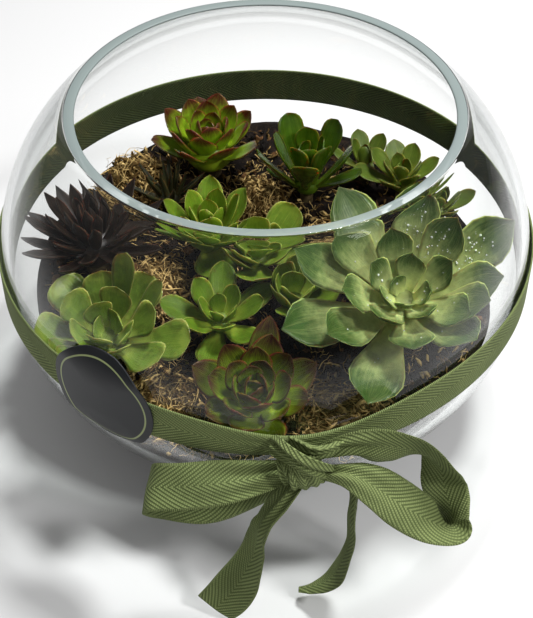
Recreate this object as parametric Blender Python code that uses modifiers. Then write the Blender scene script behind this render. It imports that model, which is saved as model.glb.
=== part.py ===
"""A glass bowl planted with succulents, with a tape ribbon tied round it in a bow.

Metres, +Z up. The origin is the middle of the bowl's flat base, and the bow is at the front, on -Y.
Run with: blender --background --python part.py
"""

import math
import random
from dataclasses import dataclass

import bmesh
import bpy
from mathutils import Matrix, Vector, noise
from mathutils.bvhtree import BVHTree

# Glass bowl: an oblate ball, cut flat at the base and ground flat at the rim
BOWL_RADIUS = 0.125
BOWL_HALF_HEIGHT = 0.1084
EQUATOR_Z = 0.096
RIM_Z = EQUATOR_Z + 0.0764
WALL = 0.0035
RIM_WIDTH = 0.0053
RIM_ROUNDING = 0.0007
FLOOR_Z = 0.006
TURN_STEPS = 36

# Clearance between pieces that touch, and what a leaf keeps to its neighbours
GAP = 0.0003
LEAF_CLEARANCE = 0.0005

# Fill: soil over gravel, both banked up towards the glass
GRAVEL_BOTTOM = 0.0115
GRAVEL_LEVEL = 0.022
GRAVEL_FRONT_BANK = 0.026
GRAVEL_RINGS = (1.0, 0.84, 0.60)
SOIL_BOTTOM = 0.016
SOIL_LEVEL = 0.057
SOIL_RINGS = (1.0, 0.80, 0.52, 0.24)
STEM_DEPTH = 0.012

# Ribbon: one length of cotton tape round the widest part, tied at the front
TAPE_WIDTH = 0.0195
TAPE_THICKNESS = 0.0008
BAND_Z = EQUATOR_Z + 0.0015
KNOT_ANGLE = math.radians(-83)
KNOT_DROP = 0.0065
KNOT_TAPE_WIDTH = 0.0100
KNOT_MIDDLE = (0.0160, -0.1322, 0.0870)
KNOT_HALF_SIZE = (0.0092, 0.0063, 0.0115)
KNOT_LEAN = math.radians(-20)

# Round label on the glass at the lower left, over the ribbon
LABEL_RADIUS = 0.0255
LABEL_THICKNESS = 0.0006
LABEL_ANGLE = math.radians(-123)
LABEL_Z = 0.0970

GOLDEN_ANGLE = math.radians(137.508)

# Leaf outlines: share of the length from the root, and share of the greatest width there
OUTLINES = {
    "long_pointed": ((0.0, 0.32), (0.36, 0.60), (0.70, 1.0), (0.89, 0.68)),
    "pointed": ((0.0, 0.42), (0.62, 1.0), (0.87, 0.70)),
    "long_spoon": ((0.0, 0.34), (0.42, 0.62), (0.76, 1.0), (0.94, 0.68)),
    "spoon": ((0.0, 0.38), (0.64, 1.0), (0.93, 0.70)),
    "stout": ((0.0, 0.42), (0.52, 1.0), (0.84, 0.68)),
    "strap": ((0.0, 0.80), (0.70, 1.0)),
    "spike": ((0.0, 1.0), (0.5, 0.80)),
}


@dataclass
class Rosette:
    """A plant whose leaves stand round one axis on a golden-angle spiral, lowest and longest first."""

    name: str
    colour: tuple
    centre: tuple
    leaves: int
    length: tuple
    width: float
    thickness: float
    rise: tuple
    curl: float
    outline: str
    core: float
    lean: tuple = (0.0, 0.0)
    turn: float = 0.0
    single_leaves: tuple = ()


@dataclass
class Leaf:
    """One leaf: where it is rooted, the frame that it grows in, and its size."""

    root: Vector
    outward: Vector
    axis: Vector
    length: float
    width: float
    thickness: float
    rise: float
    curl: float
    outline: str


BLUE_GREEN = (0.30, 0.42, 0.26, 1.0)
LIME = (0.26, 0.38, 0.06, 1.0)
SOFT_GREEN = (0.30, 0.42, 0.14, 1.0)
DEEP_GREEN = (0.05, 0.14, 0.03, 1.0)
OLIVE = (0.20, 0.28, 0.08, 1.0)
NEAR_BLACK = (0.035, 0.025, 0.022, 1.0)

# A single leaf is its turn round the axis and its rise in degrees, its length and its width
PLANTS = (
    Rosette(
        "echeveria_large", BLUE_GREEN, (0.0650, -0.0315, 0.0790), 25, (0.061, 0.013), 0.42, 0.0026,
        (18, 60), 10, "long_pointed", 0.0100, lean=(-0.04, -0.42), turn=20,
    ),
    Rosette(
        "houseleek_front", LIME, (-0.0050, -0.0770, 0.0640), 26, (0.026, 0.011), 0.68, 0.0020,
        (18, 78), 18, "stout", 0.0125, lean=(0.0, -0.34), turn=60,
        single_leaves=((78, 36, 0.034, 0.0150),),
    ),
    Rosette(
        "houseleek_back", LIME, (-0.0300, 0.0800, 0.0855), 26, (0.027, 0.011), 0.66, 0.0020,
        (24, 78), 18, "stout", 0.0130, lean=(0.0, -0.05), turn=10,
    ),
    Rosette(
        "spoon_leaf_left", SOFT_GREEN, (-0.0725, -0.0480, 0.0710), 19, (0.036, 0.013), 0.60, 0.0022,
        (14, 66), 10, "long_spoon", 0.0095, lean=(-0.02, -0.30), turn=35,
        single_leaves=((62, 66, 0.044, 0.0125), (25, 44, 0.036, 0.0110)),
    ),
    Rosette(
        "dark_rosette_left", NEAR_BLACK, (-0.0840, 0.0080, 0.0820), 36, (0.036, 0.020), 0.23, 0.0028,
        (2, 76), 20, "strap", 0.0125, lean=(-0.10, 0.0), turn=15,
    ),
    Rosette(
        "fan_rosette_middle", SOFT_GREEN, (-0.0280, 0.0210, 0.0720), 14, (0.032, 0.021), 0.44, 0.0024,
        (44, 80), 4, "pointed", 0.0070, turn=80,
        single_leaves=((-80, -2, 0.027, 0.0220), (170, 20, 0.027, 0.0120)),
    ),
    Rosette(
        "small_rosette_left", SOFT_GREEN, (-0.0215, -0.0310, 0.0670), 14, (0.029, 0.011), 0.50, 0.0024,
        (12, 68), 8, "pointed", 0.0065, lean=(0.0, -0.15), turn=75,
    ),
    Rosette(
        "round_leaf_middle", SOFT_GREEN, (-0.0040, 0.0060, 0.0745), 13, (0.031, 0.013), 0.66, 0.0022,
        (12, 68), 12, "spoon", 0.0070, lean=(0.0, -0.20), turn=40,
    ),
    Rosette(
        "round_leaf_right", SOFT_GREEN, (0.0140, -0.0180, 0.0680), 11, (0.027, 0.013), 0.68, 0.0022,
        (12, 64), 10, "spoon", 0.0062, lean=(0.0, -0.20), turn=120,
    ),
    Rosette(
        "dark_green_back", DEEP_GREEN, (0.0220, 0.0620, 0.0770), 12, (0.037, 0.022), 0.42, 0.0022,
        (46, 82), 6, "long_spoon", 0.0068, turn=25,
        single_leaves=((175, 18, 0.020, 0.0060), (-20, 24, 0.030, 0.0130)),
    ),
    Rosette(
        "olive_rosette_right", OLIVE, (0.0720, 0.0630, 0.0770), 14, (0.024, 0.010), 0.52, 0.0020,
        (20, 74), 10, "pointed", 0.0058, turn=0,
    ),
    Rosette(
        "olive_rosette_wall", OLIVE, (0.0890, 0.0400, 0.0770), 11, (0.021, 0.009), 0.54, 0.0020,
        (22, 74), 10, "pointed", 0.0055, turn=50,
    ),
    Rosette(
        "olive_rosette_back", OLIVE, (0.0530, 0.0740, 0.0790), 11, (0.022, 0.009), 0.52, 0.0020,
        (20, 74), 10, "pointed", 0.0052, turn=95,
    ),
    Rosette(
        "spiky_tuft", DEEP_GREEN, (-0.0500, 0.0520, 0.0760), 15, (0.022, 0.014), 0.18, 0.0026,
        (26, 84), 6, "spike", 0.0065, turn=0,
    ),
)

# Moss clumps: place, half sizes along X and Y, and height over the soil
MOSS_CLUMPS = (
    ("moss_back_left", (-0.068, 0.066), (0.021, 0.020), 0.019),
    ("moss_back_middle", (-0.002, 0.056), (0.018, 0.024), 0.013),
    ("moss_front_left", (-0.046, -0.072), (0.018, 0.020), 0.011),
    ("moss_front_right", (0.034, -0.074), (0.024, 0.016), 0.009),
    ("moss_middle_left", (-0.052, -0.004), (0.016, 0.022), 0.011),
    ("moss_middle_right", (0.036, 0.026), (0.018, 0.016), 0.012),
)


def new_collection(name):
    collection = bpy.data.collections.new(name)
    bpy.context.scene.collection.children.link(collection)
    return collection


def new_material(name, colour, roughness, alpha=1.0, transmission=0.0):
    material = bpy.data.materials.new(name)
    material.use_nodes = True
    shader = material.node_tree.nodes["Principled BSDF"]
    shader.inputs["Base Color"].default_value = colour
    shader.inputs["Roughness"].default_value = roughness
    shader.inputs["Alpha"].default_value = alpha
    shader.inputs["Transmission Weight"].default_value = transmission
    material.diffuse_color = (*colour[:3], alpha)
    return material


def object_from(name, shape, collection, material=None):
    """An object that holds the bmesh, whose faces are turned outwards first."""
    bmesh.ops.recalc_face_normals(shape, faces=shape.faces)
    mesh = bpy.data.meshes.new(name)
    shape.to_mesh(mesh)
    shape.free()
    if material:
        mesh.materials.append(material)
    made = bpy.data.objects.new(name, mesh)
    collection.objects.link(made)
    return made


def ellipse_points(radius, half_height, low_z, high_z, steps):
    """Points on an upright ellipse about the bowl's middle, from high_z down to low_z."""
    high = math.asin((high_z - EQUATOR_Z) / half_height)
    low = math.asin((low_z - EQUATOR_Z) / half_height)
    angles = [high + (low - high) * step / steps for step in range(steps + 1)]
    return [(radius * math.cos(a), EQUATOR_Z + half_height * math.sin(a)) for a in angles]


OUTER_PROFILE = ellipse_points(BOWL_RADIUS, BOWL_HALF_HEIGHT, 0.0, RIM_Z - RIM_ROUNDING, 10)
INNER_PROFILE = ellipse_points(BOWL_RADIUS - WALL, BOWL_HALF_HEIGHT - WALL, 0.011, RIM_Z - 0.012, 8)


def inner_radius(z):
    """Radius of the bowl's inner wall at a height, on the straight facets between its profile's points."""
    if z <= INNER_PROFILE[-1][1]:
        return INNER_PROFILE[-1][0]
    for (r_above, z_above), (r_below, z_below) in zip(INNER_PROFILE, INNER_PROFILE[1:]):
        if z_below <= z:
            return r_below + (r_above - r_below) * (z - z_below) / (z_above - z_below)
    return INNER_PROFILE[0][0]


def bump(x, y, middle, spread):
    """A smooth hill of height 1 at its middle."""
    return math.exp(-(((x - middle[0]) / spread[0]) ** 2) - ((y - middle[1]) / spread[1]) ** 2)


def gravel_height(x, y):
    bank = GRAVEL_FRONT_BANK * bump(x, y, (-0.008, -0.112), (0.045, 0.022))
    return GRAVEL_LEVEL + bank


def soil_height(x, y):
    slope = 0.15 * y if y > 0 else 0.08 * y
    left_bank = 0.010 * bump(x, y, (-0.092, 0.012), (0.034, 0.050))
    back_mound = 0.002 * bump(x, y, (-0.040, 0.086), (0.040, 0.030))
    right_mound = 0.011 * bump(x, y, (0.064, -0.016), (0.040, 0.036))
    right_hollow = 0.016 * bump(x, y, (0.088, -0.084), (0.040, 0.034))
    front_dip = 0.009 * bump(x, y, (-0.008, -0.118), (0.045, 0.014))
    ripple = 0.0012 * math.sin(95 * x + 1.0) * math.cos(110 * y)
    return SOIL_LEVEL + slope + left_bank + back_mound + right_mound - right_hollow - front_dip + ripple


def skin(shape, rings, tip=None, closed=False):
    """Faces between rings of equal count, capped at both ends unless the rings close on themselves.

    The first cap is the first ring's own polygon, and the last is a fan to the tip if there is one.
    The second half of a ring is split the other way, so that both faces of a tape are split alike.
    """
    rows = [[shape.verts.new(point) for point in ring] for ring in rings]
    count = len(rows[0])
    pairs = list(zip(rows, rows[1:]))
    if closed:
        pairs.append((rows[-1], rows[0]))
    for near, far in pairs:
        for i in range(count):
            j = (i + 1) % count
            start, end = (i, j) if i * 2 < count else (j, i)
            shape.faces.new((near[start], near[end], far[end]))
            shape.faces.new((near[start], far[end], far[start]))
    if closed:
        return
    shape.faces.new(reversed(rows[0]))
    if tip is None:
        shape.faces.new(rows[-1])
        return
    point = shape.verts.new(tip)
    for i in range(count):
        shape.faces.new((rows[-1][i], rows[-1][(i + 1) % count], point))


def make_bowl(collection, material):
    """The glass, turned from one profile: up the inside, over the ground rim and down the outside."""
    inner_top = (OUTER_PROFILE[0][0] - RIM_WIDTH, RIM_Z - RIM_ROUNDING)
    outer_top = OUTER_PROFILE[0]
    profile = [(0.0, FLOOR_Z), (0.045, FLOOR_Z)]
    profile += reversed(INNER_PROFILE)
    profile += [inner_top, (inner_top[0] + RIM_ROUNDING, RIM_Z), (outer_top[0] - RIM_ROUNDING, RIM_Z)]
    profile += OUTER_PROFILE
    profile += [(0.0, 0.0)]
    mesh = bpy.data.meshes.new("glass_bowl")
    edges = [(i, i + 1) for i in range(len(profile) - 1)]
    mesh.from_pydata([(r, 0.0, z) for r, z in profile], edges, [])
    mesh.materials.append(material)
    bowl = bpy.data.objects.new("glass_bowl", mesh)
    collection.objects.link(bowl)
    screw = bowl.modifiers.new("turn", "SCREW")
    screw.steps = TURN_STEPS
    screw.render_steps = TURN_STEPS
    screw.use_merge_vertices = True
    screw.merge_threshold = 0.00001
    screw.use_smooth_shade = True
    return bowl


def fill_solid(name, top, low_z, collection, material=None, rings=SOIL_RINGS, grow=0.0):
    """A solid that fills the bowl from low_z to the height that top(x, y) gives, clear of the glass by GAP.

    grow moves its top up and its sides out along the slope there, for a copy that cuts the piece above it.
    """
    shape = bmesh.new()
    spread = grow * 3
    spokes = [2 * math.pi * i / TURN_STEPS for i in range(TURN_STEPS)]

    def at(radius, spoke, z):
        return (radius * math.cos(spoke), radius * math.sin(spoke), z)

    def edge_top(spoke):
        """Where the top meets the wall: the height there sets the wall's radius, which sets the height."""
        z = SOIL_LEVEL
        for _ in range(6):
            radius = inner_radius(z) - GAP
            z = top(radius * math.cos(spoke), radius * math.sin(spoke))
        return z

    def lift(spoke, edge):
        """How far the top's outer edge goes up when it moves out by the spread, and by how much it grows."""
        radius = inner_radius(edge) - GAP
        inner = radius * rings[1]
        rise = edge - top(inner * math.cos(spoke), inner * math.sin(spoke))
        return grow + spread * rise / (radius - inner)

    tops = [edge_top(spoke) for spoke in spokes]
    sides = []
    for share in (0.0, 0.45, 1.0):
        ring = []
        for spoke, edge in zip(spokes, tops):
            z = low_z + (edge - low_z) * share
            radius = inner_radius(z) - GAP + spread
            ring.append(at(radius, spoke, z + share * lift(spoke, edge)))
        sides.append(ring)
    for share in rings[1:]:
        ring = []
        for spoke, edge in zip(spokes, tops):
            radius = (inner_radius(edge) - GAP) * share
            x, y = radius * math.cos(spoke), radius * math.sin(spoke)
            ring.append((x, y, top(x, y) + grow))
        sides.append(ring)
    skin(shape, sides, tip=(0.0, 0.0, top(0.0, 0.0) + grow))
    return object_from(name, shape, collection, material)


def combine(target, operation, cutters, solver):
    """One Boolean of the target with a collection of objects, applied, with those objects then removed."""
    boolean = target.modifiers.new("combine", "BOOLEAN")
    boolean.operation = operation
    boolean.operand_type = "COLLECTION"
    boolean.collection = cutters
    boolean.solver = solver
    graph = bpy.context.evaluated_depsgraph_get()
    result = bpy.data.meshes.new_from_object(target.evaluated_get(graph))
    target.modifiers.clear()
    old = target.data
    target.data = result
    bpy.data.meshes.remove(old)
    result.name = target.name
    for cutter in list(cutters.objects):
        bpy.data.objects.remove(cutter)
    bpy.data.collections.remove(cutters)
    return target


def largest_part(target):
    """Leaves only the shell with the most points, without cut-off bits or pockets closed in by leaves."""
    shape = bmesh.new()
    shape.from_mesh(target.data)
    left = set(shape.verts)
    parts = []
    while left:
        part = [left.pop()]
        for vertex in part:
            around = [edge.other_vert(vertex) for edge in vertex.link_edges]
            part += [other for other in around if other in left]
            left.difference_update(around)
        parts.append(part)
    parts.sort(key=len)
    for part in parts[:-1]:
        bmesh.ops.delete(shape, geom=part, context="VERTS")
    shape.to_mesh(target.data)
    shape.free()
    return target


def cutter_collection(name):
    collection = new_collection(name)
    collection.hide_render = True
    return collection


def mark_cutter(cutter):
    cutter.hide_render = True
    cutter.display_type = "WIRE"


def leaf_rings(leaf, grow=0.0):
    """A leaf's cross-sections, each left edge, right edge and keel, and its tip.

    Its rib is an arc that starts at its rise and ends steeper by its curl. grow widens it all over.
    """
    side = leaf.axis.cross(leaf.outward)
    curl = leaf.curl if abs(leaf.curl) > 0.01 else 0.01

    def rib(share):
        angle = leaf.rise + curl * share
        radius = leaf.length / curl
        along = leaf.outward * (math.sin(angle) - math.sin(leaf.rise))
        along += leaf.axis * (math.cos(leaf.rise) - math.cos(angle))
        up = leaf.axis * math.cos(angle) - leaf.outward * math.sin(angle)
        return leaf.root + along * radius, up

    rings = []
    for share, width in OUTLINES[leaf.outline]:
        point, up = rib(share)
        half_width = leaf.width * width / 2 + grow
        thickness = leaf.thickness * (1.0 - 0.35 * share) + grow
        edge = up * (0.16 * half_width)
        rings.append([
            point + side * half_width + edge,
            point - side * half_width + edge,
            point - up * (thickness + grow),
        ])
    tip, up = rib(1.0 + grow / leaf.length)
    return rings, tip + up * (0.05 * leaf.width)


def leaf_faces(shape, leaf, grow=0.0):
    """A leaf's closed surface: flat above and keeled below."""
    rings, tip = leaf_rings(leaf, grow)
    rows = [[shape.verts.new(point) for point in ring] for ring in rings]
    for near, far in zip(rows, rows[1:]):
        for i in range(3):
            j = (i + 1) % 3
            shape.faces.new((near[i], near[j], far[j]))
            shape.faces.new((near[i], far[j], far[i]))
    shape.faces.new(rows[0])
    point = shape.verts.new(tip)
    for i in range(3):
        shape.faces.new((rows[-1][i], rows[-1][(i + 1) % 3], point))


def tree_of(leaves, grow=0.0):
    """A search tree of the leaves' surfaces, for telling where two pieces cross."""
    shape = bmesh.new()
    for leaf in leaves:
        leaf_faces(shape, leaf, grow)
    tree = BVHTree.FromBMesh(shape)
    shape.free()
    return tree


def axis_of(plant):
    return Vector((plant.lean[0], plant.lean[1], 1.0)).normalized()


def planned_leaves(plant):
    """The plant's leaves before they are fitted between its neighbours."""
    axis = axis_of(plant)
    centre = Vector(plant.centre)
    across = axis.cross(Vector((0.0, 1.0, 0.0))).normalized()
    draw = random.Random(plant.name)
    planned = []
    for i in range(plant.leaves):
        share = i / (plant.leaves - 1)
        angle = math.radians(plant.turn + draw.uniform(-6, 6)) + i * GOLDEN_ANGLE
        outward = Matrix.Rotation(angle, 3, axis) @ across
        length = plant.length[0] + (plant.length[1] - plant.length[0]) * share ** 1.5
        length *= draw.uniform(0.93, 1.04)
        rise = plant.rise[0] + (plant.rise[1] - plant.rise[0]) * share + draw.uniform(-4, 4)
        seat = math.radians(-12 + 92 * share)
        root = centre + (outward * math.cos(seat) + axis * 0.85 * math.sin(seat)) * plant.core * 0.62
        planned.append(Leaf(
            root, outward, axis, length, length ** 0.6 * plant.length[0] ** 0.4 * plant.width,
            plant.thickness, math.radians(rise), math.radians(plant.curl), plant.outline,
        ))
    for turn, rise, length, width in plant.single_leaves:
        outward = Matrix.Rotation(math.radians(turn), 3, Vector((0.0, 0.0, 1.0))) @ Vector((1.0, 0.0, 0.0))
        planned.append(Leaf(
            centre + outward * plant.core * 0.5, outward, Vector((0.0, 0.0, 1.0)), length, width,
            plant.thickness, math.radians(rise), math.radians(10), plant.outline,
        ))
    return planned


def fitted_leaf(leaf, obstacles):
    """The leaf bent up and shortened in small steps until it is clear of its neighbours, or None."""
    for step in range(9):
        trial = Leaf(
            leaf.root, leaf.outward, leaf.axis, leaf.length * (1.0 - 0.035 * step),
            leaf.width * (1.0 - 0.02 * step), leaf.thickness, leaf.rise + math.radians(6.5) * step,
            leaf.curl, leaf.outline,
        )
        own = tree_of([trial], LEAF_CLEARANCE)
        if not any(own.overlap(obstacle) for obstacle in obstacles):
            return trial
    return None


def core_shape(plant, grow=0.0):
    """The plant's short stem head: a squat ball, on a stem that goes down into the soil."""
    shape = bmesh.new()
    axis = axis_of(plant)
    radius = plant.core + grow
    turn = Vector((0.0, 0.0, 1.0)).rotation_difference(axis).to_matrix().to_4x4()
    squat = Matrix.Diagonal((1.0, 1.0, 0.85, 1.0))
    place = Matrix.Translation(plant.centre) @ turn @ squat
    bmesh.ops.create_uvsphere(shape, u_segments=8, v_segments=5, radius=radius, matrix=place)
    return shape


def stem_shape(plant, radius, depth, sides=8):
    """An upright round stem from the core's middle to below the soil's surface."""
    x, y, z = plant.centre
    low = soil_height(x, y) - depth
    shape = bmesh.new()
    place = Matrix.Translation((x, y, (z + low) / 2))
    bmesh.ops.create_cone(
        shape, cap_ends=True, segments=sides, radius1=radius, radius2=radius, depth=z - low, matrix=place
    )
    return shape


def stem_radius(plant):
    return 0.5 * plant.core


def make_plant(plant, leaves, collection, material):
    body = object_from(plant.name, core_shape(plant), collection, material)
    repeats = cutter_collection(plant.name + "_leaves")
    mark_cutter(object_from("stem", stem_shape(plant, stem_radius(plant), STEM_DEPTH), repeats))
    for leaf in leaves:
        shape = bmesh.new()
        leaf_faces(shape, leaf)
        mark_cutter(object_from("leaf", shape, repeats))
    return largest_part(combine(body, "UNION", repeats, "MANIFOLD"))


def make_plants(collection, solids):
    """All the plants, each fitted between the glass, the soil, the other cores and the plants before it."""
    graph = bpy.context.evaluated_depsgraph_get()
    around = [BVHTree.FromObject(solid, graph) for solid in solids]
    cores = {}
    for plant in PLANTS:
        shape = core_shape(plant, LEAF_CLEARANCE)
        cores[plant.name] = BVHTree.FromBMesh(shape)
        shape.free()
    grown = []
    for plant in PLANTS:
        others = [tree for name, tree in cores.items() if name != plant.name]
        fitted = [fitted_leaf(leaf, around + others + grown) for leaf in planned_leaves(plant)]
        leaves = [leaf for leaf in fitted if leaf]
        grown.append(tree_of(leaves))
        grown.append(cores[plant.name])
        material = new_material(plant.name, plant.colour, 0.5)
        make_plant(plant, leaves, collection, material)
        print(plant.name, len(leaves), "of", plant.leaves + len(plant.single_leaves), "leaves")
    return around[:1] + grown


def make_gravel(collection, material):
    return fill_solid("gravel", gravel_height, GRAVEL_BOTTOM, collection, material, rings=GRAVEL_RINGS)


def make_soil(collection, material):
    """The soil: its underside follows the gravel, and each plant's stem has a plain hole in it."""
    soil = fill_solid("soil", soil_height, SOIL_BOTTOM, collection, material)
    cutters = cutter_collection("soil_cutters")
    space = fill_solid(
        "gravel_space", gravel_height, GRAVEL_BOTTOM, cutters, rings=GRAVEL_RINGS, grow=3 * GAP
    )
    mark_cutter(space)
    for plant in PLANTS:
        hole = stem_shape(plant, stem_radius(plant) + GAP, STEM_DEPTH + GAP)
        mark_cutter(object_from("stem_hole", hole, cutters))
    return largest_part(combine(soil, "DIFFERENCE", cutters, "MANIFOLD"))


def make_moss(name, place, half_size, height, soil, around, collection, material):
    """A tuft of moss on the soil, made smaller in steps until it is clear of the glass and the plants."""
    for step in range(8):
        scale = 1.0 - 0.08 * step
        shape = bmesh.new()
        ground = soil_height(*place)
        bmesh.ops.create_icosphere(shape, subdivisions=2, radius=1.0)
        for vertex in shape.verts:
            rough = 1.0 + 0.30 * noise.noise(vertex.co * 1.9 + Vector((place[0] * 300, place[1] * 300, 0)))
            x = place[0] + vertex.co.x * half_size[0] * rough * scale
            y = place[1] + vertex.co.y * half_size[1] * rough * scale
            z = ground + vertex.co.z * height * rough * scale + (soil_height(x, y) - ground)
            vertex.co = Vector((x, y, z))
        tree = BVHTree.FromBMesh(shape)
        if not any(tree.overlap(other) for other in around):
            break
        shape.free()
    else:
        raise RuntimeError(name + " has no room")
    moss = object_from(name, shape, collection, material)
    cutters = cutter_collection(name + "_ground")
    ground_copy = bpy.data.objects.new("ground", soil.data.copy())
    ground_copy.location.z = GAP
    cutters.objects.link(ground_copy)
    mark_cutter(ground_copy)
    combine(moss, "DIFFERENCE", cutters, "MANIFOLD")
    print(name, "scale", round(scale, 2))
    return moss


def glass_radius(z):
    """Outer radius of the glass at a height."""
    rise = (z - EQUATOR_Z) / BOWL_HALF_HEIGHT
    return BOWL_RADIUS * math.sqrt(1.0 - rise * rise)


def knot_nearness(angle, spread):
    """1 at the knot, falling to 0 away from it round the bowl."""
    apart = (angle - KNOT_ANGLE + math.pi) % (2 * math.pi) - math.pi
    return math.exp(-((apart / spread) ** 2))


def make_band(collection, material):
    """The ribbon round the bowl, gathered and pulled down where it meets the knot."""
    shape = bmesh.new()
    rings = []
    for i in range(TURN_STEPS):
        angle = 2 * math.pi * i / TURN_STEPS
        gather = knot_nearness(angle, math.radians(15))
        middle = BAND_Z - KNOT_DROP * knot_nearness(angle, math.radians(22))
        half = (TAPE_WIDTH + (KNOT_TAPE_WIDTH - TAPE_WIDTH) * gather) / 2
        thickness = TAPE_THICKNESS + 0.0012 * gather
        inside = BOWL_RADIUS + GAP
        outside = inside + thickness
        low, high = middle - half, middle + half
        corners = ((inside, low), (outside, low), (outside, high), (inside, high))
        rings.append([(radius * math.cos(angle), radius * math.sin(angle), z) for radius, z in corners])
    skin(shape, rings, closed=True)
    return object_from("ribbon_band", shape, collection, material)


def smooth_between(values, share):
    """A point on the smooth curve through evenly spaced values, at a share of its length."""
    place = share * (len(values) - 1)
    i = min(int(place), len(values) - 2)
    t = place - i
    before, start, end, after = (values[max(0, min(len(values) - 1, k))] for k in (i - 1, i, i + 1, i + 2))
    return 0.5 * (
        2 * start + (end - before) * t + (2 * before - 5 * start + 4 * end - after) * t * t
        + (3 * start - before - 3 * end + after) * t * t * t
    )


def tape_rings(stations, count, thickness):
    """Cross-sections of a tape along stations, each its middle, the way across it and its width."""
    middles = [Vector(middle) for middle, _, _ in stations]
    acrosses = [Vector(across).normalized() for _, across, _ in stations]
    widths = [width for _, _, width in stations]
    rings = []
    for k in range(count + 1):
        share = k / count
        middle = smooth_between(middles, share)
        before, after = max(0.0, share - 0.01), min(1.0, share + 0.01)
        ahead = smooth_between(middles, after) - smooth_between(middles, before)
        across = smooth_between(acrosses, share)
        across = (across - ahead * across.dot(ahead) / ahead.length_squared).normalized()
        out = ahead.cross(across).normalized() * thickness / 2
        half = across * smooth_between(widths, share) / 2
        rings.append([middle - half - out, middle + half - out, middle + half + out, middle - half + out])
    return rings


def make_tape(name, stations, count, collection, material, thickness=TAPE_THICKNESS):
    shape = bmesh.new()
    skin(shape, tape_rings(stations, count, thickness))
    return object_from(name, shape, collection, material)


# Stations of the bow's pieces: middle of the tape, the way across it and its width there
LOOP_LEFT = (
    ((0.0100, -0.1320, 0.0830), (0.10, -0.70, -0.70), 0.0090),
    ((-0.0010, -0.1345, 0.0820), (0.06, -0.70, -0.70), 0.0135),
    ((-0.0175, -0.1365, 0.0805), (0.00, -0.68, -0.73), 0.0185),
    ((-0.0335, -0.1370, 0.0785), (-0.08, -0.66, -0.75), 0.0195),
    ((-0.0455, -0.1350, 0.0755), (-0.24, -0.63, -0.74), 0.0195),
    ((-0.0490, -0.1310, 0.0680), (-0.16, -0.63, -0.76), 0.0195),
    ((-0.0420, -0.1275, 0.0590), (-0.04, -0.55, -0.83), 0.0195),
    ((-0.0260, -0.1265, 0.0540), (0.06, -0.48, -0.87), 0.0195),
    ((-0.0080, -0.1270, 0.0625), (0.14, -0.44, -0.88), 0.0165),
    ((0.0110, -0.1300, 0.0785), (0.14, -0.50, -0.85), 0.0080),
)
LOOP_RIGHT = (
    ((0.0225, -0.1308, 0.0925), (0.35, -0.05, -0.93), 0.0070),
    ((0.0340, -0.1308, 0.0968), (0.20, -0.05, -0.98), 0.0120),
    ((0.0440, -0.1310, 0.0970), (0.14, -0.12, -0.98), 0.0180),
    ((0.0540, -0.1300, 0.0950), (0.11, 0.12, -0.98), 0.0195),
    ((0.0630, -0.1290, 0.0915), (0.04, 0.42, -0.90), 0.0195),
    ((0.0695, -0.1290, 0.0865), (-0.28, 0.62, -0.73), 0.0195),
    ((0.0728, -0.1298, 0.0795), (-0.74, 0.48, -0.46), 0.0195),
    ((0.0742, -0.1315, 0.0728), (-0.94, 0.28, -0.20), 0.0195),
    ((0.0765, -0.1350, 0.0668), (-0.84, 0.50, -0.22), 0.0195),
    ((0.0785, -0.1395, 0.0622), (-0.50, 0.80, -0.34), 0.0195),
    ((0.0775, -0.1435, 0.0606), (-0.12, 0.92, -0.38), 0.0195),
    ((0.0725, -0.1455, 0.0638), (0.10, 0.97, -0.08), 0.0195),
    ((0.0640, -0.1460, 0.0702), (0.28, 0.90, 0.34), 0.0195),
    ((0.0545, -0.1450, 0.0778), (0.34, 0.76, 0.55), 0.0195),
    ((0.0460, -0.1430, 0.0848), (0.27, 0.84, 0.47), 0.0180),
    ((0.0380, -0.1408, 0.0890), (0.12, 0.94, 0.32), 0.0145),
    ((0.0310, -0.1386, 0.0893), (0.05, 0.96, 0.20), 0.0100),
    ((0.0215, -0.1355, 0.0865), (0.00, 0.97, 0.20), 0.0060),
)
TAIL_LEFT = (
    ((0.0145, -0.1350, 0.0800), (0.82, -0.34, 0.45), 0.0065),
    ((0.0075, -0.1390, 0.0722), (0.72, -0.48, 0.45), 0.0105),
    ((0.0015, -0.1412, 0.0640), (0.46, -0.62, 0.62), 0.0150),
    ((-0.0018, -0.1425, 0.0560), (0.28, -0.71, 0.64), 0.0180),
    ((-0.0035, -0.1430, 0.0480), (0.36, -0.70, 0.60), 0.0195),
    ((-0.0060, -0.1445, 0.0375), (0.52, -0.67, 0.53), 0.0195),
    ((-0.0105, -0.1460, 0.0255), (0.72, -0.53, 0.42), 0.0195),
    ((-0.0165, -0.1470, 0.0145), (0.90, -0.30, 0.20), 0.0195),
    ((-0.0222, -0.1475, 0.0062), (0.97, -0.20, 0.00), 0.0190),
)
TAIL_RIGHT = (
    ((0.0220, -0.1320, 0.0830), (0.20, -0.55, 0.80), 0.0065),
    ((0.0340, -0.1345, 0.0780), (0.20, -0.62, 0.74), 0.0110),
    ((0.0362, -0.1365, 0.0700), (0.08, -0.78, 0.60), 0.0160),
    ((0.0362, -0.1380, 0.0580), (0.06, -0.80, 0.58), 0.0195),
    ((0.0360, -0.1388, 0.0450), (0.06, -0.80, 0.58), 0.0195),
    ((0.0347, -0.1392, 0.0335), (0.07, -0.80, 0.58), 0.0195),
    ((0.0318, -0.1392, 0.0225), (0.10, -0.82, 0.55), 0.0180),
    ((0.0268, -0.1388, 0.0135), (0.14, -0.84, 0.50), 0.0140),
    ((0.0205, -0.1382, 0.0080), (0.20, -0.84, 0.48), 0.0090),
    ((0.0150, -0.1378, 0.0060), (0.24, -0.84, 0.46), 0.0040),
)

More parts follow.
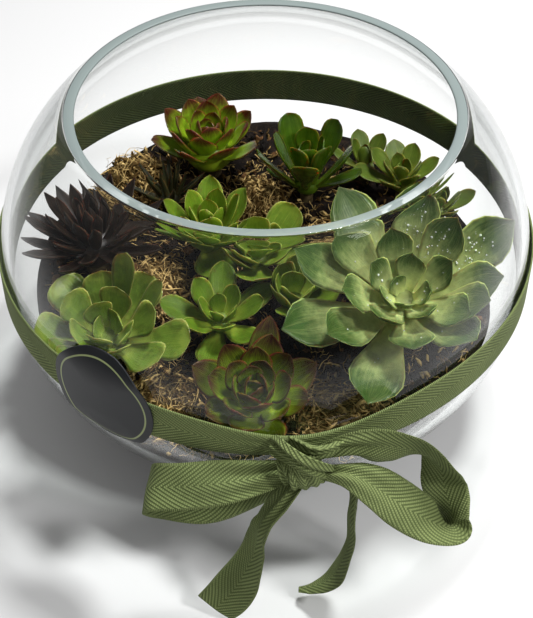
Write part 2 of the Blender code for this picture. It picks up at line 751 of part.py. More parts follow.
# The knot's two turns of tape, in the same form
UPPER_WRAP = (
    ((0.0085, -0.1290, 0.0930), (0.50, -0.10, 0.86), 0.0080),
    ((0.0095, -0.1355, 0.0950), (0.50, -0.20, 0.84), 0.0090),
    ((0.0165, -0.1385, 0.0925), (0.45, -0.15, 0.88), 0.0095),
    ((0.0235, -0.1360, 0.0885), (0.42, 0.15, 0.89), 0.0085),
    ((0.0245, -0.1295, 0.0870), (0.42, 0.25, 0.87), 0.0075),
)
LOWER_WRAP = (
    ((0.0105, -0.1290, 0.0880), (0.86, -0.10, 0.45), 0.0085),
    ((0.0115, -0.1365, 0.0860), (0.86, -0.15, 0.45), 0.0105),
    ((0.0150, -0.1385, 0.0805), (0.88, -0.05, 0.40), 0.0115),
    ((0.0180, -0.1350, 0.0750), (0.90, 0.10, 0.35), 0.0110),
    ((0.0185, -0.1290, 0.0760), (0.90, 0.20, 0.30), 0.0095),
)


def make_knot(collection, material):
    """The knot: a squat bundle with the tape wrapped over it twice."""
    shape = bmesh.new()
    lean = Matrix.Rotation(KNOT_LEAN, 4, "Y")
    place = Matrix.Translation(KNOT_MIDDLE) @ lean @ Matrix.Diagonal((*KNOT_HALF_SIZE, 1.0))
    bmesh.ops.create_uvsphere(shape, u_segments=10, v_segments=6, radius=1.0, matrix=place)
    knot = object_from("bow_knot", shape, collection, material)
    wraps = cutter_collection("knot_wraps")
    mark_cutter(make_tape("upper_wrap", UPPER_WRAP, 8, wraps, None, 0.0030))
    mark_cutter(make_tape("lower_wrap", LOWER_WRAP, 8, wraps, None, 0.0028))
    return combine(knot, "UNION", wraps, "MANIFOLD")


def make_bow_piece(name, stations, count, knot, collection, material):
    """A loop or a tail of the bow, cut off where it goes into the knot."""
    tape = make_tape(name, stations, count, collection, material)
    cutters = cutter_collection(name + "_end")
    space = bpy.data.objects.new("knot_space", knot.data.copy())
    normals = [vertex.normal.copy() for vertex in space.data.vertices]
    for vertex, normal in zip(space.data.vertices, normals):
        vertex.co += normal * GAP * 1.2
    cutters.objects.link(space)
    mark_cutter(space)
    return largest_part(combine(tape, "DIFFERENCE", cutters, "MANIFOLD"))


def make_label(collection, material):
    """A round label that lies on the glass and over the ribbon."""
    shape = bmesh.new()
    spokes = 20

    def on_glass(across, up, lift):
        """A point of the label, across and up from its middle, lifted off the glass or the ribbon."""
        z = LABEL_Z + up
        over_tape = max(0.0, min(1.0, (0.024 - abs(z - BAND_Z)) / 0.008))
        on_tape = BOWL_RADIUS + GAP + TAPE_THICKNESS
        radius = glass_radius(z) + (on_tape - glass_radius(z)) * over_tape + GAP + lift
        angle = LABEL_ANGLE + across / BOWL_RADIUS
        return Vector((radius * math.cos(angle), radius * math.sin(angle), z))

    def face_rings(lift):
        rings = []
        for share in (1.0, 0.62, 0.32):
            turns = [2 * math.pi * i / spokes for i in range(spokes)]
            size = LABEL_RADIUS * share
            rings.append([on_glass(size * math.cos(t), size * math.sin(t), lift) for t in turns])
        return rings

    under = face_rings(0.0)
    over = face_rings(LABEL_THICKNESS)
    rows = [[shape.verts.new(point) for point in ring] for ring in under[::-1] + over]
    for near, far in zip(rows, rows[1:]):
        for i in range(spokes):
            j = (i + 1) % spokes
            shape.faces.new((near[i], near[j], far[j], far[i]))
    for ring, lift in ((rows[0], 0.0), (rows[-1], LABEL_THICKNESS)):
        middle = shape.verts.new(on_glass(0.0, 0.0, lift))
        for i in range(spokes):
            shape.faces.new((ring[i], ring[(i + 1) % spokes], middle))
    return object_from("label", shape, collection, material)


def main():
    for old in list(bpy.data.objects):
        bpy.data.objects.remove(old)
    collection = new_collection("succulent_bowl")
    glass = new_material("glass", (0.95, 0.97, 0.96, 1.0), 0.02, alpha=0.25, transmission=1.0)
    tape = new_material("ribbon", (0.17, 0.21, 0.08, 1.0), 0.85)
    moss = new_material("moss", (0.35, 0.25, 0.10, 1.0), 0.95)
    bowl = make_bowl(collection, glass)
    make_gravel(collection, new_material("gravel", (0.30, 0.28, 0.26, 1.0), 0.8))
    soil = make_soil(collection, new_material("soil", (0.03, 0.02, 0.015, 1.0), 0.95))
    around = make_plants(collection, [bowl, soil])
    for name, place, half_size, height in MOSS_CLUMPS:
        make_moss(name, place, half_size, height, soil, around, collection, moss)
    make_band(collection, tape)
    knot = make_knot(collection, tape)
    make_bow_piece("bow_loop_left", LOOP_LEFT, 22, knot, collection, tape)
    make_bow_piece("bow_loop_right", LOOP_RIGHT, 30, knot, collection, tape)
    make_bow_piece("bow_tail_left", TAIL_LEFT, 12, knot, collection, tape)
    make_bow_piece("bow_tail_right", TAIL_RIGHT, 13, knot, collection, tape)
    make_label(collection, new_material("label", (0.02, 0.022, 0.025, 1.0), 0.45))


main()
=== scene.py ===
"""The succulent bowl's visual pieces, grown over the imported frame.

It is laid out as an add-on and run as a script. Metres, +Z up, with the bow at the front, on -Y.
"""

import math
import random
from dataclasses import dataclass, replace

import bmesh
import bpy
from mathutils import Matrix, Vector, noise
from mathutils.bvhtree import BVHTree


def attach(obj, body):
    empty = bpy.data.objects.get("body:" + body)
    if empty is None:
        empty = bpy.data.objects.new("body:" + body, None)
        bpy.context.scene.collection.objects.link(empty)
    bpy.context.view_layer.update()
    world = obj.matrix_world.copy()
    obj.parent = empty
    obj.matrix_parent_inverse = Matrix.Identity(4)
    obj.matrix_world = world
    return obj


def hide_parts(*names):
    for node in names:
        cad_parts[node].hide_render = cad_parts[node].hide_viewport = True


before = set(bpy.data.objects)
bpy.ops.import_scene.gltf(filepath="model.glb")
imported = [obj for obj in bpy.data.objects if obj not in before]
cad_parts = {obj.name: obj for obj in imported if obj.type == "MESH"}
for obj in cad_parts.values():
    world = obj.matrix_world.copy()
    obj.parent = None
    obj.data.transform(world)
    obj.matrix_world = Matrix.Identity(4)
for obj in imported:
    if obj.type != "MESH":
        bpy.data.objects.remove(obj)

bl_info = {
    "name": "Succulent bowl",
    "version": (1, 0, 0),
    "blender": (4, 5, 0),
    "location": "3D View > Sidebar > Succulent bowl",
    "description": "Leaves, moss, soil, glass and ribbon of a planted glass bowl",
    "category": "Add Mesh",
}

UP = Vector((0.0, 0.0, 1.0))

# The bowl and its fill, as in the frame
BOWL_RADIUS = 0.125
BOWL_HALF_HEIGHT = 0.1084
EQUATOR_Z = 0.096
RIM_Z = EQUATOR_Z + 0.0764
WALL = 0.0035
RIM_WIDTH = 0.0053
RIM_ROUNDING = 0.0007
FLOOR_Z = 0.006
INNER_WALL_FOOT = 0.011
GAP = 0.0003
GRAVEL_LEVEL = 0.022
GRAVEL_BANK = 0.026
SOIL_LEVEL = 0.057
SOIL_RIPPLE = 0.0012

# The banks, mounds and hollows of the soil: height, middle and spread
SOIL_FORMS = (
    (0.010, (-0.092, 0.012), (0.034, 0.050)),
    (0.002, (-0.040, 0.086), (0.040, 0.030)),
    (0.011, (0.064, -0.016), (0.040, 0.036)),
    (-0.016, (0.088, -0.084), (0.040, 0.034)),
    (-0.009, (-0.008, -0.118), (0.045, 0.014)),
)

# Plants, as in the frame
LEAF_CLEARANCE = 0.0005
STEM_DEPTH = 0.012
STEM_SIDES = 14
CORE_HEIGHT = 0.85
GOLDEN_ANGLE = math.radians(137.508)
FITTING_STEPS = 9

# How far a leaf's sides stand over its rib, as a share of its half width, how much thinner it is at
# its tip than at its root, and how far its tip is lifted, as a share of its width
LEAF_HOLLOW = 0.16
LEAF_THINNING = 0.35
TIP_LIFT = 0.05

# Ribbon
TAPE_THICKNESS = 0.0008
BAND_Z = EQUATOR_Z + 0.0015
KNOT_ANGLE = math.radians(-83)
KNOT_DROP = 0.0065
KNOT_TAPE_WIDTH = 0.0100
KNOT_MIDDLE = (0.0160, -0.1322, 0.0870)
KNOT_HALF_SIZE = (0.0092, 0.0063, 0.0115)
KNOT_LEAN = math.radians(-20)
STITCH_SPACING = 0.0011
CROSS_THREAD_SPACING = 0.0008

# Label
LABEL_THICKNESS = 0.0006
LABEL_ANGLE = math.radians(-123)
LABEL_Z = 0.0970

# Stage: a light is its name, place, size and power
CAMERA_PLACE = (0.0, -0.4575, 0.4957)
CAMERA_LENS = 73.51
CAMERA_SHIFT = (0.0018, -0.1215)
LIGHTS = (("window", (0.20, 0.26, 0.98), 0.18, 11.5), ("side", (0.58, -0.42, 0.85), 0.14, 6.0))
LIT_Z = 0.08
ROOM_LIGHT = 0.42
FLOOR_GREY = 0.64

# Shares of a leaf's length at which it has a cross-section
LEAF_STATIONS = (0.0, 0.12, 0.25, 0.38, 0.50, 0.62, 0.74, 0.84, 0.91, 0.96, 0.99, 1.0)

# Width at those stations, as a share of the greatest width
LEAF_WIDTHS = {
    "long_pointed": (0.32, 0.37, 0.47, 0.62, 0.79, 0.94, 0.99, 0.83, 0.54, 0.23, 0.07, 0.02),
    "pointed": (0.42, 0.50, 0.64, 0.80, 0.93, 1.00, 0.96, 0.80, 0.58, 0.31, 0.09, 0.02),
    "long_spoon": (0.34, 0.38, 0.46, 0.58, 0.74, 0.90, 1.00, 0.97, 0.83, 0.58, 0.22, 0.03),
    "spoon": (0.38, 0.48, 0.62, 0.78, 0.91, 1.00, 1.00, 0.92, 0.77, 0.52, 0.20, 0.03),
    "stout": (0.42, 0.56, 0.76, 0.93, 1.00, 0.97, 0.84, 0.65, 0.45, 0.24, 0.08, 0.02),
    "strap": (0.80, 0.82, 0.86, 0.91, 0.95, 1.00, 0.92, 0.62, 0.36, 0.17, 0.05, 0.02),
    "spike": (1.00, 0.97, 0.92, 0.86, 0.78, 0.66, 0.50, 0.33, 0.20, 0.10, 0.04, 0.02),
}

# The frame's simpler outlines, which its leaves were fitted with: share of the length, share of the width
FRAME_OUTLINES = {
    "long_pointed": ((0.0, 0.32), (0.36, 0.60), (0.70, 1.0), (0.89, 0.68)),
    "pointed": ((0.0, 0.42), (0.62, 1.0), (0.87, 0.70)),
    "long_spoon": ((0.0, 0.34), (0.42, 0.62), (0.76, 1.0), (0.94, 0.68)),
    "spoon": ((0.0, 0.38), (0.64, 1.0), (0.93, 0.70)),
    "stout": ((0.0, 0.42), (0.52, 1.0), (0.84, 0.68)),
    "strap": ((0.0, 0.80), (0.70, 1.0)),
    "spike": ((0.0, 1.0), (0.5, 0.80)),
}

# A leaf's cross-section, left to right over its face and back under its keel, as shares of its half width
FACE_SPOTS = (-1.0, -0.74, -0.42, -0.14, 0.14, 0.42, 0.74, 1.0)
KEEL_SPOTS = (0.80, 0.45, 0.0, -0.45, -0.80)


@dataclass
class Rosette:
    """A plant whose leaves stand round one axis on a golden-angle spiral, lowest and longest first."""

    name: str
    slot: str
    centre: tuple
    leaves: int
    length: tuple
    width: float
    thickness: float
    rise: tuple
    curl: float
    outline: str
    core: float
    lean: tuple = (0.0, 0.0)
    turn: float = 0.0
    single_leaves: tuple = ()

    @property
    def axis(self):
        return Vector((*self.lean, 1.0)).normalized()


@dataclass
class Leaf:
    """One leaf: where it is rooted, the frame that it grows in, and its size."""

    root: Vector
    outward: Vector
    axis: Vector
    length: float
    width: float
    thickness: float
    rise: float
    curl: float
    outline: str
    age: float = 0.0


# A single leaf is its turn round the axis and its rise in degrees, its length and its width
PLANTS = (
    Rosette("echeveria_large", "echeveria", (0.065, -0.0315, 0.079), 25, (0.061, 0.013), 0.42, 0.0026,
        (18, 60), 10, "long_pointed", 0.01, lean=(-0.04, -0.42), turn=20),
    Rosette("houseleek_front", "houseleek", (-0.005, -0.077, 0.064), 26, (0.026, 0.011), 0.68, 0.002,
        (18, 78), 18, "stout", 0.0125, lean=(0.0, -0.34), turn=60, single_leaves=((78, 36, 0.034, 0.015),)),
    Rosette("houseleek_back", "houseleek", (-0.03, 0.08, 0.0855), 26, (0.027, 0.011), 0.66, 0.002, (24, 78),
        18, "stout", 0.013, lean=(0.0, -0.05), turn=10),
    Rosette("spoon_leaf_left", "soft_green_leaf", (-0.0725, -0.048, 0.071), 19, (0.036, 0.013), 0.6, 0.0022,
        (14, 66), 10, "long_spoon", 0.0095, lean=(-0.02, -0.3), turn=35,
        single_leaves=((62, 66, 0.044, 0.0125), (25, 44, 0.036, 0.011))),
    Rosette("dark_rosette_left", "dark_leaf", (-0.084, 0.008, 0.082), 36, (0.036, 0.02), 0.23, 0.0028,
        (2, 76), 20, "strap", 0.0125, lean=(-0.1, 0.0), turn=15),
    Rosette("fan_rosette_middle", "soft_green_leaf", (-0.028, 0.021, 0.072), 14, (0.032, 0.021), 0.44, 0.0024,
        (44, 80), 4, "pointed", 0.007, turn=80,
        single_leaves=((-80, -2, 0.027, 0.022), (170, 20, 0.027, 0.012))),
    Rosette("small_rosette_left", "soft_green_leaf", (-0.0215, -0.031, 0.067), 14, (0.029, 0.011), 0.5,
        0.0024, (12, 68), 8, "pointed", 0.0065, lean=(0.0, -0.15), turn=75),
    Rosette("round_leaf_middle", "soft_green_leaf", (-0.004, 0.006, 0.0745), 13, (0.031, 0.013), 0.66, 0.0022,
        (12, 68), 12, "spoon", 0.007, lean=(0.0, -0.2), turn=40),
    Rosette("round_leaf_right", "soft_green_leaf", (0.014, -0.018, 0.068), 11, (0.027, 0.013), 0.68, 0.0022,
        (12, 64), 10, "spoon", 0.0062, lean=(0.0, -0.2), turn=120),
    Rosette("dark_green_back", "deep_green_leaf", (0.022, 0.062, 0.077), 12, (0.037, 0.022), 0.42, 0.0022,
        (46, 82), 6, "long_spoon", 0.0068, turn=25,
        single_leaves=((175, 18, 0.02, 0.006), (-20, 24, 0.03, 0.013))),
    Rosette("olive_rosette_right", "olive_leaf", (0.072, 0.063, 0.077), 14, (0.024, 0.01), 0.52, 0.002,
        (20, 74), 10, "pointed", 0.0058, turn=0),
    Rosette("olive_rosette_wall", "olive_leaf", (0.089, 0.04, 0.077), 11, (0.021, 0.009), 0.54, 0.002,
        (22, 74), 10, "pointed", 0.0055, turn=50),
    Rosette("olive_rosette_back", "olive_leaf", (0.053, 0.074, 0.079), 11, (0.022, 0.009), 0.52, 0.002,
        (20, 74), 10, "pointed", 0.0052, turn=95),
    Rosette("spiky_tuft", "deep_green_leaf", (-0.05, 0.052, 0.076), 15, (0.022, 0.014), 0.18, 0.0026,
        (26, 84), 6, "spike", 0.0065, turn=0),
)


@dataclass
class Look:
    """A plant's colours, as seen on a screen from 0 to 255, and how far its edge and tip colours reach."""

    root: tuple
    middle: tuple
    tip: tuple
    edge: tuple
    edge_reach: float = 0.16
    tip_reach: float = 0.20
    roughness: float = 0.42
    blotch: float = 0.25
    vein: float = 0.25
    root_reach: float = 0.55
    wear: float = 0.35
    worn: tuple = (92, 66, 32)


LOOKS = {
    "echeveria_large": Look((210, 218, 142), (66, 90, 38), (46, 73, 22), (172, 190, 106), 0.06, 0.24, 0.38,
        0.22, 0.12, 0.88, 0.0),
    "houseleek_front": Look((166, 186, 40), (92, 116, 16), (52, 5, 14), (66, 8, 18), 0.2, 0.36, 0.34,
        wear=0.0),
    "houseleek_back": Look((168, 188, 46), (116, 146, 24), (66, 8, 16), (80, 16, 18), 0.14, 0.28, 0.34,
        wear=0.0),
    "spoon_leaf_left": Look((158, 172, 78), (94, 118, 40), (116, 134, 52), (166, 174, 96), 0.09, 0.14, 0.34,
        0.35, 0.15, wear=0.25),
    "dark_rosette_left": Look((62, 50, 38), (34, 25, 19), (24, 18, 14), (64, 50, 38), 0.14, 0.2, 0.36, 0.6,
        0.45, 0.3, 0.0),
    "fan_rosette_middle": Look((158, 174, 60), (92, 122, 24), (92, 120, 22), (164, 178, 78), 0.09, wear=0.6),
    "small_rosette_left": Look((142, 158, 54), (80, 108, 18), (78, 106, 16), (158, 174, 76), 0.09, wear=0.6),
    "round_leaf_middle": Look((150, 164, 66), (92, 118, 28), (106, 128, 34), (168, 182, 92), 0.09, wear=0.3),
    "round_leaf_right": Look((150, 164, 66), (92, 118, 28), (106, 128, 34), (168, 182, 92), 0.09, wear=0.3),
    "dark_green_back": Look((98, 120, 30), (52, 80, 8), (46, 74, 6), (86, 110, 28), 0.1, 0.1, 0.24),
    "olive_rosette_right": Look((122, 132, 48), (68, 86, 18), (64, 82, 16), (120, 132, 54), 0.12),
    "olive_rosette_wall": Look((122, 132, 48), (70, 88, 20), (66, 84, 18), (120, 132, 54), 0.12),
    "olive_rosette_back": Look((122, 132, 48), (64, 82, 16), (60, 78, 14), (116, 128, 50), 0.12),
    "spiky_tuft": Look((56, 54, 28), (32, 36, 18), (28, 32, 16), (50, 54, 28)),
}

# Stations of the bow's pieces: the tape's middle in tenths of a millimetre, the way across it in
# hundredths, and its width there in tenths of a millimetre
LOOP_LEFT = (
    (100, -1320, 830, 10, -70, -70, 90), (-10, -1345, 820, 6, -70, -70, 135),
    (-175, -1365, 805, 0, -68, -73, 185), (-335, -1370, 785, -8, -66, -75, 195),
    (-455, -1350, 755, -24, -63, -74, 195), (-490, -1310, 680, -16, -63, -76, 195),
    (-420, -1275, 590, -4, -55, -83, 195), (-260, -1265, 540, 6, -48, -87, 195),
    (-80, -1270, 625, 14, -44, -88, 165), (110, -1300, 785, 14, -50, -85, 80),
)
LOOP_RIGHT = (
    (225, -1308, 925, 35, -5, -93, 70), (340, -1308, 968, 20, -5, -98, 120),
    (440, -1310, 970, 14, -12, -98, 180), (540, -1300, 950, 11, 12, -98, 195),
    (630, -1290, 915, 4, 42, -90, 195), (695, -1290, 865, -28, 62, -73, 195),
    (728, -1298, 795, -74, 48, -46, 195), (742, -1315, 728, -94, 28, -20, 195),
    (765, -1350, 668, -84, 50, -22, 195), (785, -1395, 622, -50, 80, -34, 195),
    (775, -1435, 606, -12, 92, -38, 195), (725, -1455, 638, 10, 97, -8, 195),
    (640, -1460, 702, 28, 90, 34, 195), (545, -1450, 778, 34, 76, 55, 195),
    (460, -1430, 848, 27, 84, 47, 180), (380, -1408, 890, 12, 94, 32, 145), (310, -1386, 893, 5, 96, 20, 100),
    (215, -1355, 865, 0, 97, 20, 60),
)
TAIL_LEFT = (
    (145, -1350, 800, 82, -34, 45, 65), (75, -1390, 722, 72, -48, 45, 105),
    (15, -1412, 640, 46, -62, 62, 150), (-18, -1425, 560, 28, -71, 64, 180),
    (-35, -1430, 480, 36, -70, 60, 195), (-60, -1445, 375, 52, -67, 53, 195),
    (-105, -1460, 255, 72, -53, 42, 195), (-165, -1470, 145, 90, -30, 20, 195),
    (-222, -1475, 62, 97, -20, 0, 190),
)
TAIL_RIGHT = (
    (220, -1320, 830, 20, -55, 80, 65), (340, -1345, 780, 20, -62, 74, 110),
    (362, -1365, 700, 8, -78, 60, 160), (362, -1380, 580, 6, -80, 58, 195),
    (360, -1388, 450, 6, -80, 58, 195), (347, -1392, 335, 7, -80, 58, 195),
    (318, -1392, 225, 10, -82, 55, 180), (268, -1388, 135, 14, -84, 50, 140),
    (205, -1382, 80, 20, -84, 48, 90), (150, -1378, 60, 24, -84, 46, 40),
)

# The knot's strands, in the same form, from the back one to the front one
KNOT_STRANDS = (
    (
        (100, -1290, 975, 25, -20, 95, 70), (175, -1352, 992, 20, -35, 92, 90),
        (240, -1344, 978, 10, -25, 97, 88), (305, -1296, 965, 12, -10, 98, 70),
    ),
    (
        (70, -1300, 950, 85, -40, 30, 60), (78, -1365, 925, 85, -40, 30, 68),
        (92, -1385, 865, 85, -40, 35, 72), (115, -1365, 800, 85, -30, 40, 68),
        (130, -1300, 775, 85, -20, 40, 60),
    ),
    (
        (140, -1320, 965, 90, -15, 40, 90), (150, -1385, 940, 90, -15, 40, 115),
        (160, -1405, 868, 92, -5, 38, 128), (172, -1375, 798, 92, 5, 36, 120),
        (178, -1300, 775, 92, 10, 30, 100),
    ),
    (
        (30, -1290, 960, 45, -10, 88, 80), (68, -1350, 992, 50, -25, 83, 90),
        (130, -1400, 985, 50, -20, 84, 98), (195, -1408, 940, 50, -5, 86, 100),
        (250, -1380, 882, 50, 20, 84, 90), (258, -1330, 842, 50, 30, 80, 45),
    ),
)


def screen_colour(red, green, blue):
    """A colour as seen on a screen, 0 to 255, as the renderer's own numbers."""
    def to_linear(value):
        value /= 255
        return value / 12.92 if value <= 0.04045 else ((value + 0.055) / 1.055) ** 2.4

    return (to_linear(red), to_linear(green), to_linear(blue), 1.0)


class Shape:
    """The points and faces of a piece while it is built, with a place on its surface and a tint per point."""

    def __init__(self):
        self.points = []
        self.faces = []
        self.places = []
        self.tints = []
        self.finishes = []

    def add(self, points, faces, places=None, tint=0.5, finish=0):
        start = len(self.points)
        self.points += [tuple(point) for point in points]
        self.faces += [tuple(start + i for i in face) for face in faces]
        self.places += places or [(0.5, 0.0)] * len(points)
        self.tints += [tint] * len(points)
        self.finishes += [finish] * len(faces)

    def loft(self, points, columns, places=None, tint=0.5, finish=0, first_cap=True, last_cap=True):
        """Add rows of points, closed round about, with a face over the first row and over the last."""
        last = len(points) - columns
        faces = []
        for low in range(0, last, columns):
            high = low + columns
            for i in range(columns):
                j = (i + 1) % columns
                faces.append((low + i, low + j, high + j, high + i))
        if first_cap:
            faces.append(tuple(reversed(range(columns))))
        if last_cap:
            faces.append(tuple(range(last, last + columns)))
        self.add(points, faces, places, tint, finish)

    def piece(self, name, materials, node=None, slot=None, smooth=True):
        """The finished piece, riding on the frame, in place of a node of it if one is given."""
        mesh = bpy.data.meshes.new(name)
        mesh.from_pydata(self.points, [], self.faces)
        for material in materials:
            mesh.materials.append(material)
        mesh.polygons.foreach_set("material_index", self.finishes)
        mesh.polygons.foreach_set("use_smooth", [smooth] * len(self.faces))
        layer = mesh.uv_layers.new(name="place")
        corners = [0] * len(mesh.loops)
        mesh.loops.foreach_get("vertex_index", corners)
        layer.data.foreach_set("uv", [value for i in corners for value in self.places[i]])
        tint = mesh.attributes.new("tint", "FLOAT", "POINT")
        tint.data.foreach_set("value", self.tints)
        mesh.update()
        made = bpy.data.objects.new(name, mesh)
        bpy.context.scene.collection.objects.link(made)
        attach(made, "root")
        if node:
            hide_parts(node)
        return made


def angles(count):
    return [math.tau * i / count for i in range(count)]


def round_spot(radius, angle, z):
    """A point at a radius, an angle and a height round the bowl's axis."""
    return (radius * math.cos(angle), radius * math.sin(angle), z)


def ring(radius, z, count):
    return [round_spot(radius, angle, z) for angle in angles(count)]


def any_way(draw, lowest):
    """A random way that rises by something between lowest and 1."""
    return Vector((draw.uniform(-1, 1), draw.uniform(-1, 1), draw.uniform(lowest, 1)))


def ellipse_points(radius, half_height, low_z, high_z, steps):
    """Points on an upright ellipse about the bowl's middle, from high_z down to low_z."""
    high = math.asin((high_z - EQUATOR_Z) / half_height)
    low = math.asin((low_z - EQUATOR_Z) / half_height)
    turns = [high + (low - high) * step / steps for step in range(steps + 1)]
    return [(radius * math.cos(a), EQUATOR_Z + half_height * math.sin(a)) for a in turns]


def inner_radius(z):
    """Radius of the glass's inner wall at a height."""
    rise = (max(z, INNER_WALL_FOOT) - EQUATOR_Z) / (BOWL_HALF_HEIGHT - WALL)
    return (BOWL_RADIUS - WALL) * math.sqrt(max(0.0, 1.0 - rise * rise))


def glass_radius(z):
    """Outer radius of the glass at a height."""
    rise = (z - EQUATOR_Z) / BOWL_HALF_HEIGHT
    return BOWL_RADIUS * math.sqrt(1.0 - rise * rise)


def bump(x, y, middle, spread):
    """A smooth hill of height 1 at its middle."""
    return math.exp(-(((x - middle[0]) / spread[0]) ** 2) - ((y - middle[1]) / spread[1]) ** 2)


def gravel_height(x, y):
    return GRAVEL_LEVEL + GRAVEL_BANK * bump(x, y, (-0.008, -0.112), (0.045, 0.022))


def soil_height(x, y):
    height = SOIL_LEVEL + (0.15 * y if y > 0 else 0.08 * y)
    for tall, middle, spread in SOIL_FORMS:
        height += tall * bump(x, y, middle, spread)
    return height + SOIL_RIPPLE * math.sin(95 * x + 1.0) * math.cos(110 * y)


@dataclass
class Clump:
    """A clump of moss on the soil, with its half sizes along X and Y and its height over the soil."""

    name: str
    place: tuple
    half_size: tuple
    height: float
    strands: int

    def spot_on(self, way, reach):
        """A point on the clump's rounded form, lifted with the soil under it."""
        x = self.place[0] + way.x * self.half_size[0] * reach
        y = self.place[1] + way.y * self.half_size[1] * reach
        return Vector((x, y, soil_height(x, y) + way.z * self.height * reach))

    def rough_at(self, way):
        """How far the clump's form stands out or in at a way from its middle, from -1 to 1."""
        return noise.noise(way * 3.4 + Vector((self.place[0] * 300, self.place[1] * 300, 7)))


MOSS_CLUMPS = (
    Clump("moss_back_left", (-0.068, 0.066), (0.0193, 0.0184), 0.0175, 620),
    Clump("moss_back_middle", (-0.002, 0.056), (0.0137, 0.0182), 0.0100, 420),
    Clump("moss_front_left", (-0.046, -0.072), (0.018, 0.020), 0.011, 520),
    Clump("moss_front_right", (0.034, -0.074), (0.024, 0.016), 0.009, 520),
    Clump("moss_middle_left", (-0.052, -0.004), (0.016, 0.022), 0.011, 480),
    Clump("moss_middle_right", (0.036, 0.026), (0.018, 0.016), 0.012, 460),
)


# Shader building


class Value:
    """A number or colour that a shader works out at each point, to be reckoned with like a number."""

    def __init__(self, socket):
        self.socket = socket
        self.tree = socket.id_data

    def math(self, operation, second=0.0):
        return value_from(self.tree, "ShaderNodeMath", {0: self, 1: second}, operation=operation)

    def __add__(self, other):
        return self.math("ADD", other)

    def __sub__(self, other):
        return self.math("SUBTRACT", other)

    def __rsub__(self, other):
        return value_from(self.tree, "ShaderNodeMath", {0: other, 1: self}, operation="SUBTRACT")

    def __mul__(self, other):
        return self.math("MULTIPLY", other)


def put(tree, kind, inputs=None, **settings):
    """A node with its settings and inputs."""
    node = tree.nodes.new(kind)
    for name, value in settings.items():
        setattr(node, name, value)
    for name, value in (inputs or {}).items():
        if isinstance(value, Value):
            tree.links.new(value.socket, node.inputs[name])
        else:
            node.inputs[name].default_value = value
    return node


def value_from(tree, kind, inputs=None, output=0, **settings):
    """The value that a new node gives out."""
    return Value(put(tree, kind, inputs, **settings).outputs[output])


def blend(share, first, second, kind="MIX"):
    """A colour between two, at a share of the way to the second one."""
    tree = next(value.tree for value in (share, first, second) if isinstance(value, Value))
    inputs = {0: share, 6: first, 7: second}
    return value_from(tree, "ShaderNodeMix", inputs, 2, data_type="RGBA", blend_type=kind)


def shaded(colour, level):
    """The colour made lighter or darker by a level."""
    shade = value_from(level.tree, "ShaderNodeCombineXYZ", {0: level, 1: level, 2: level})
    return blend(1.0, colour, shade, "MULTIPLY")


def ramp(value, low, high):
    """0 at low and 1 at high, smoothly between."""
    inputs = {0: value, 1: low, 2: high, 3: 0.0, 4: 1.0}
    return value_from(value.tree, "ShaderNodeMapRange", inputs, interpolation_type="SMOOTHSTEP")


def wave_of(value, spacing):
    """A wave from 0 to 1 along a value, with the spacing given."""
    return (value * (math.tau / spacing)).math("SINE") * 0.5 + 0.5


def noise_of(where, scale, detail=3.0, roughness=0.55):
    inputs = {"Vector": where, "Scale": scale, "Detail": detail, "Roughness": roughness}
    return value_from(where.tree, "ShaderNodeTexNoise", inputs, "Fac")


def object_place(tree):
    return value_from(tree, "ShaderNodeTexCoord", output="Object")


def surface_place(tree):
    """How far across and along its piece a point is."""
    place = value_from(tree, "ShaderNodeUVMap", uv_map="place")
    parts = put(tree, "ShaderNodeSeparateXYZ", {0: place})
    return Value(parts.outputs[0]), Value(parts.outputs[1])


def tint_of(tree):
    return value_from(tree, "ShaderNodeAttribute", output="Fac", attribute_name="tint")


def link(value, node, label):
    value.tree.links.new(value.socket, node.inputs[label])


def roughen(shader, height, strength, depth):
    """Raise and lower a shader's surface by a height, as a share of the depth given."""
    inputs = {"Strength": strength, "Distance": depth, "Height": height}
    link(value_from(height.tree, "ShaderNodeBump", inputs), shader, "Normal")


def new_group(name, colours, numbers):
    """A shader node group that gives a colour and a height, and its inputs by their names."""
    group = bpy.data.node_groups.new(name, "ShaderNodeTree")
    for way, labels, kind in (
        ("INPUT", colours, "NodeSocketColor"), ("INPUT", numbers, "NodeSocketFloat"),
        ("OUTPUT", ("Colour",), "NodeSocketColor"), ("OUTPUT", ("Height",), "NodeSocketFloat"),
    ):
        for label in labels:
            group.interface.new_socket(label, in_out=way, socket_type=kind)
    sockets = group.nodes.new("NodeGroupInput").outputs
    return group, {label: Value(sockets[label]) for label in (*colours, *numbers)}


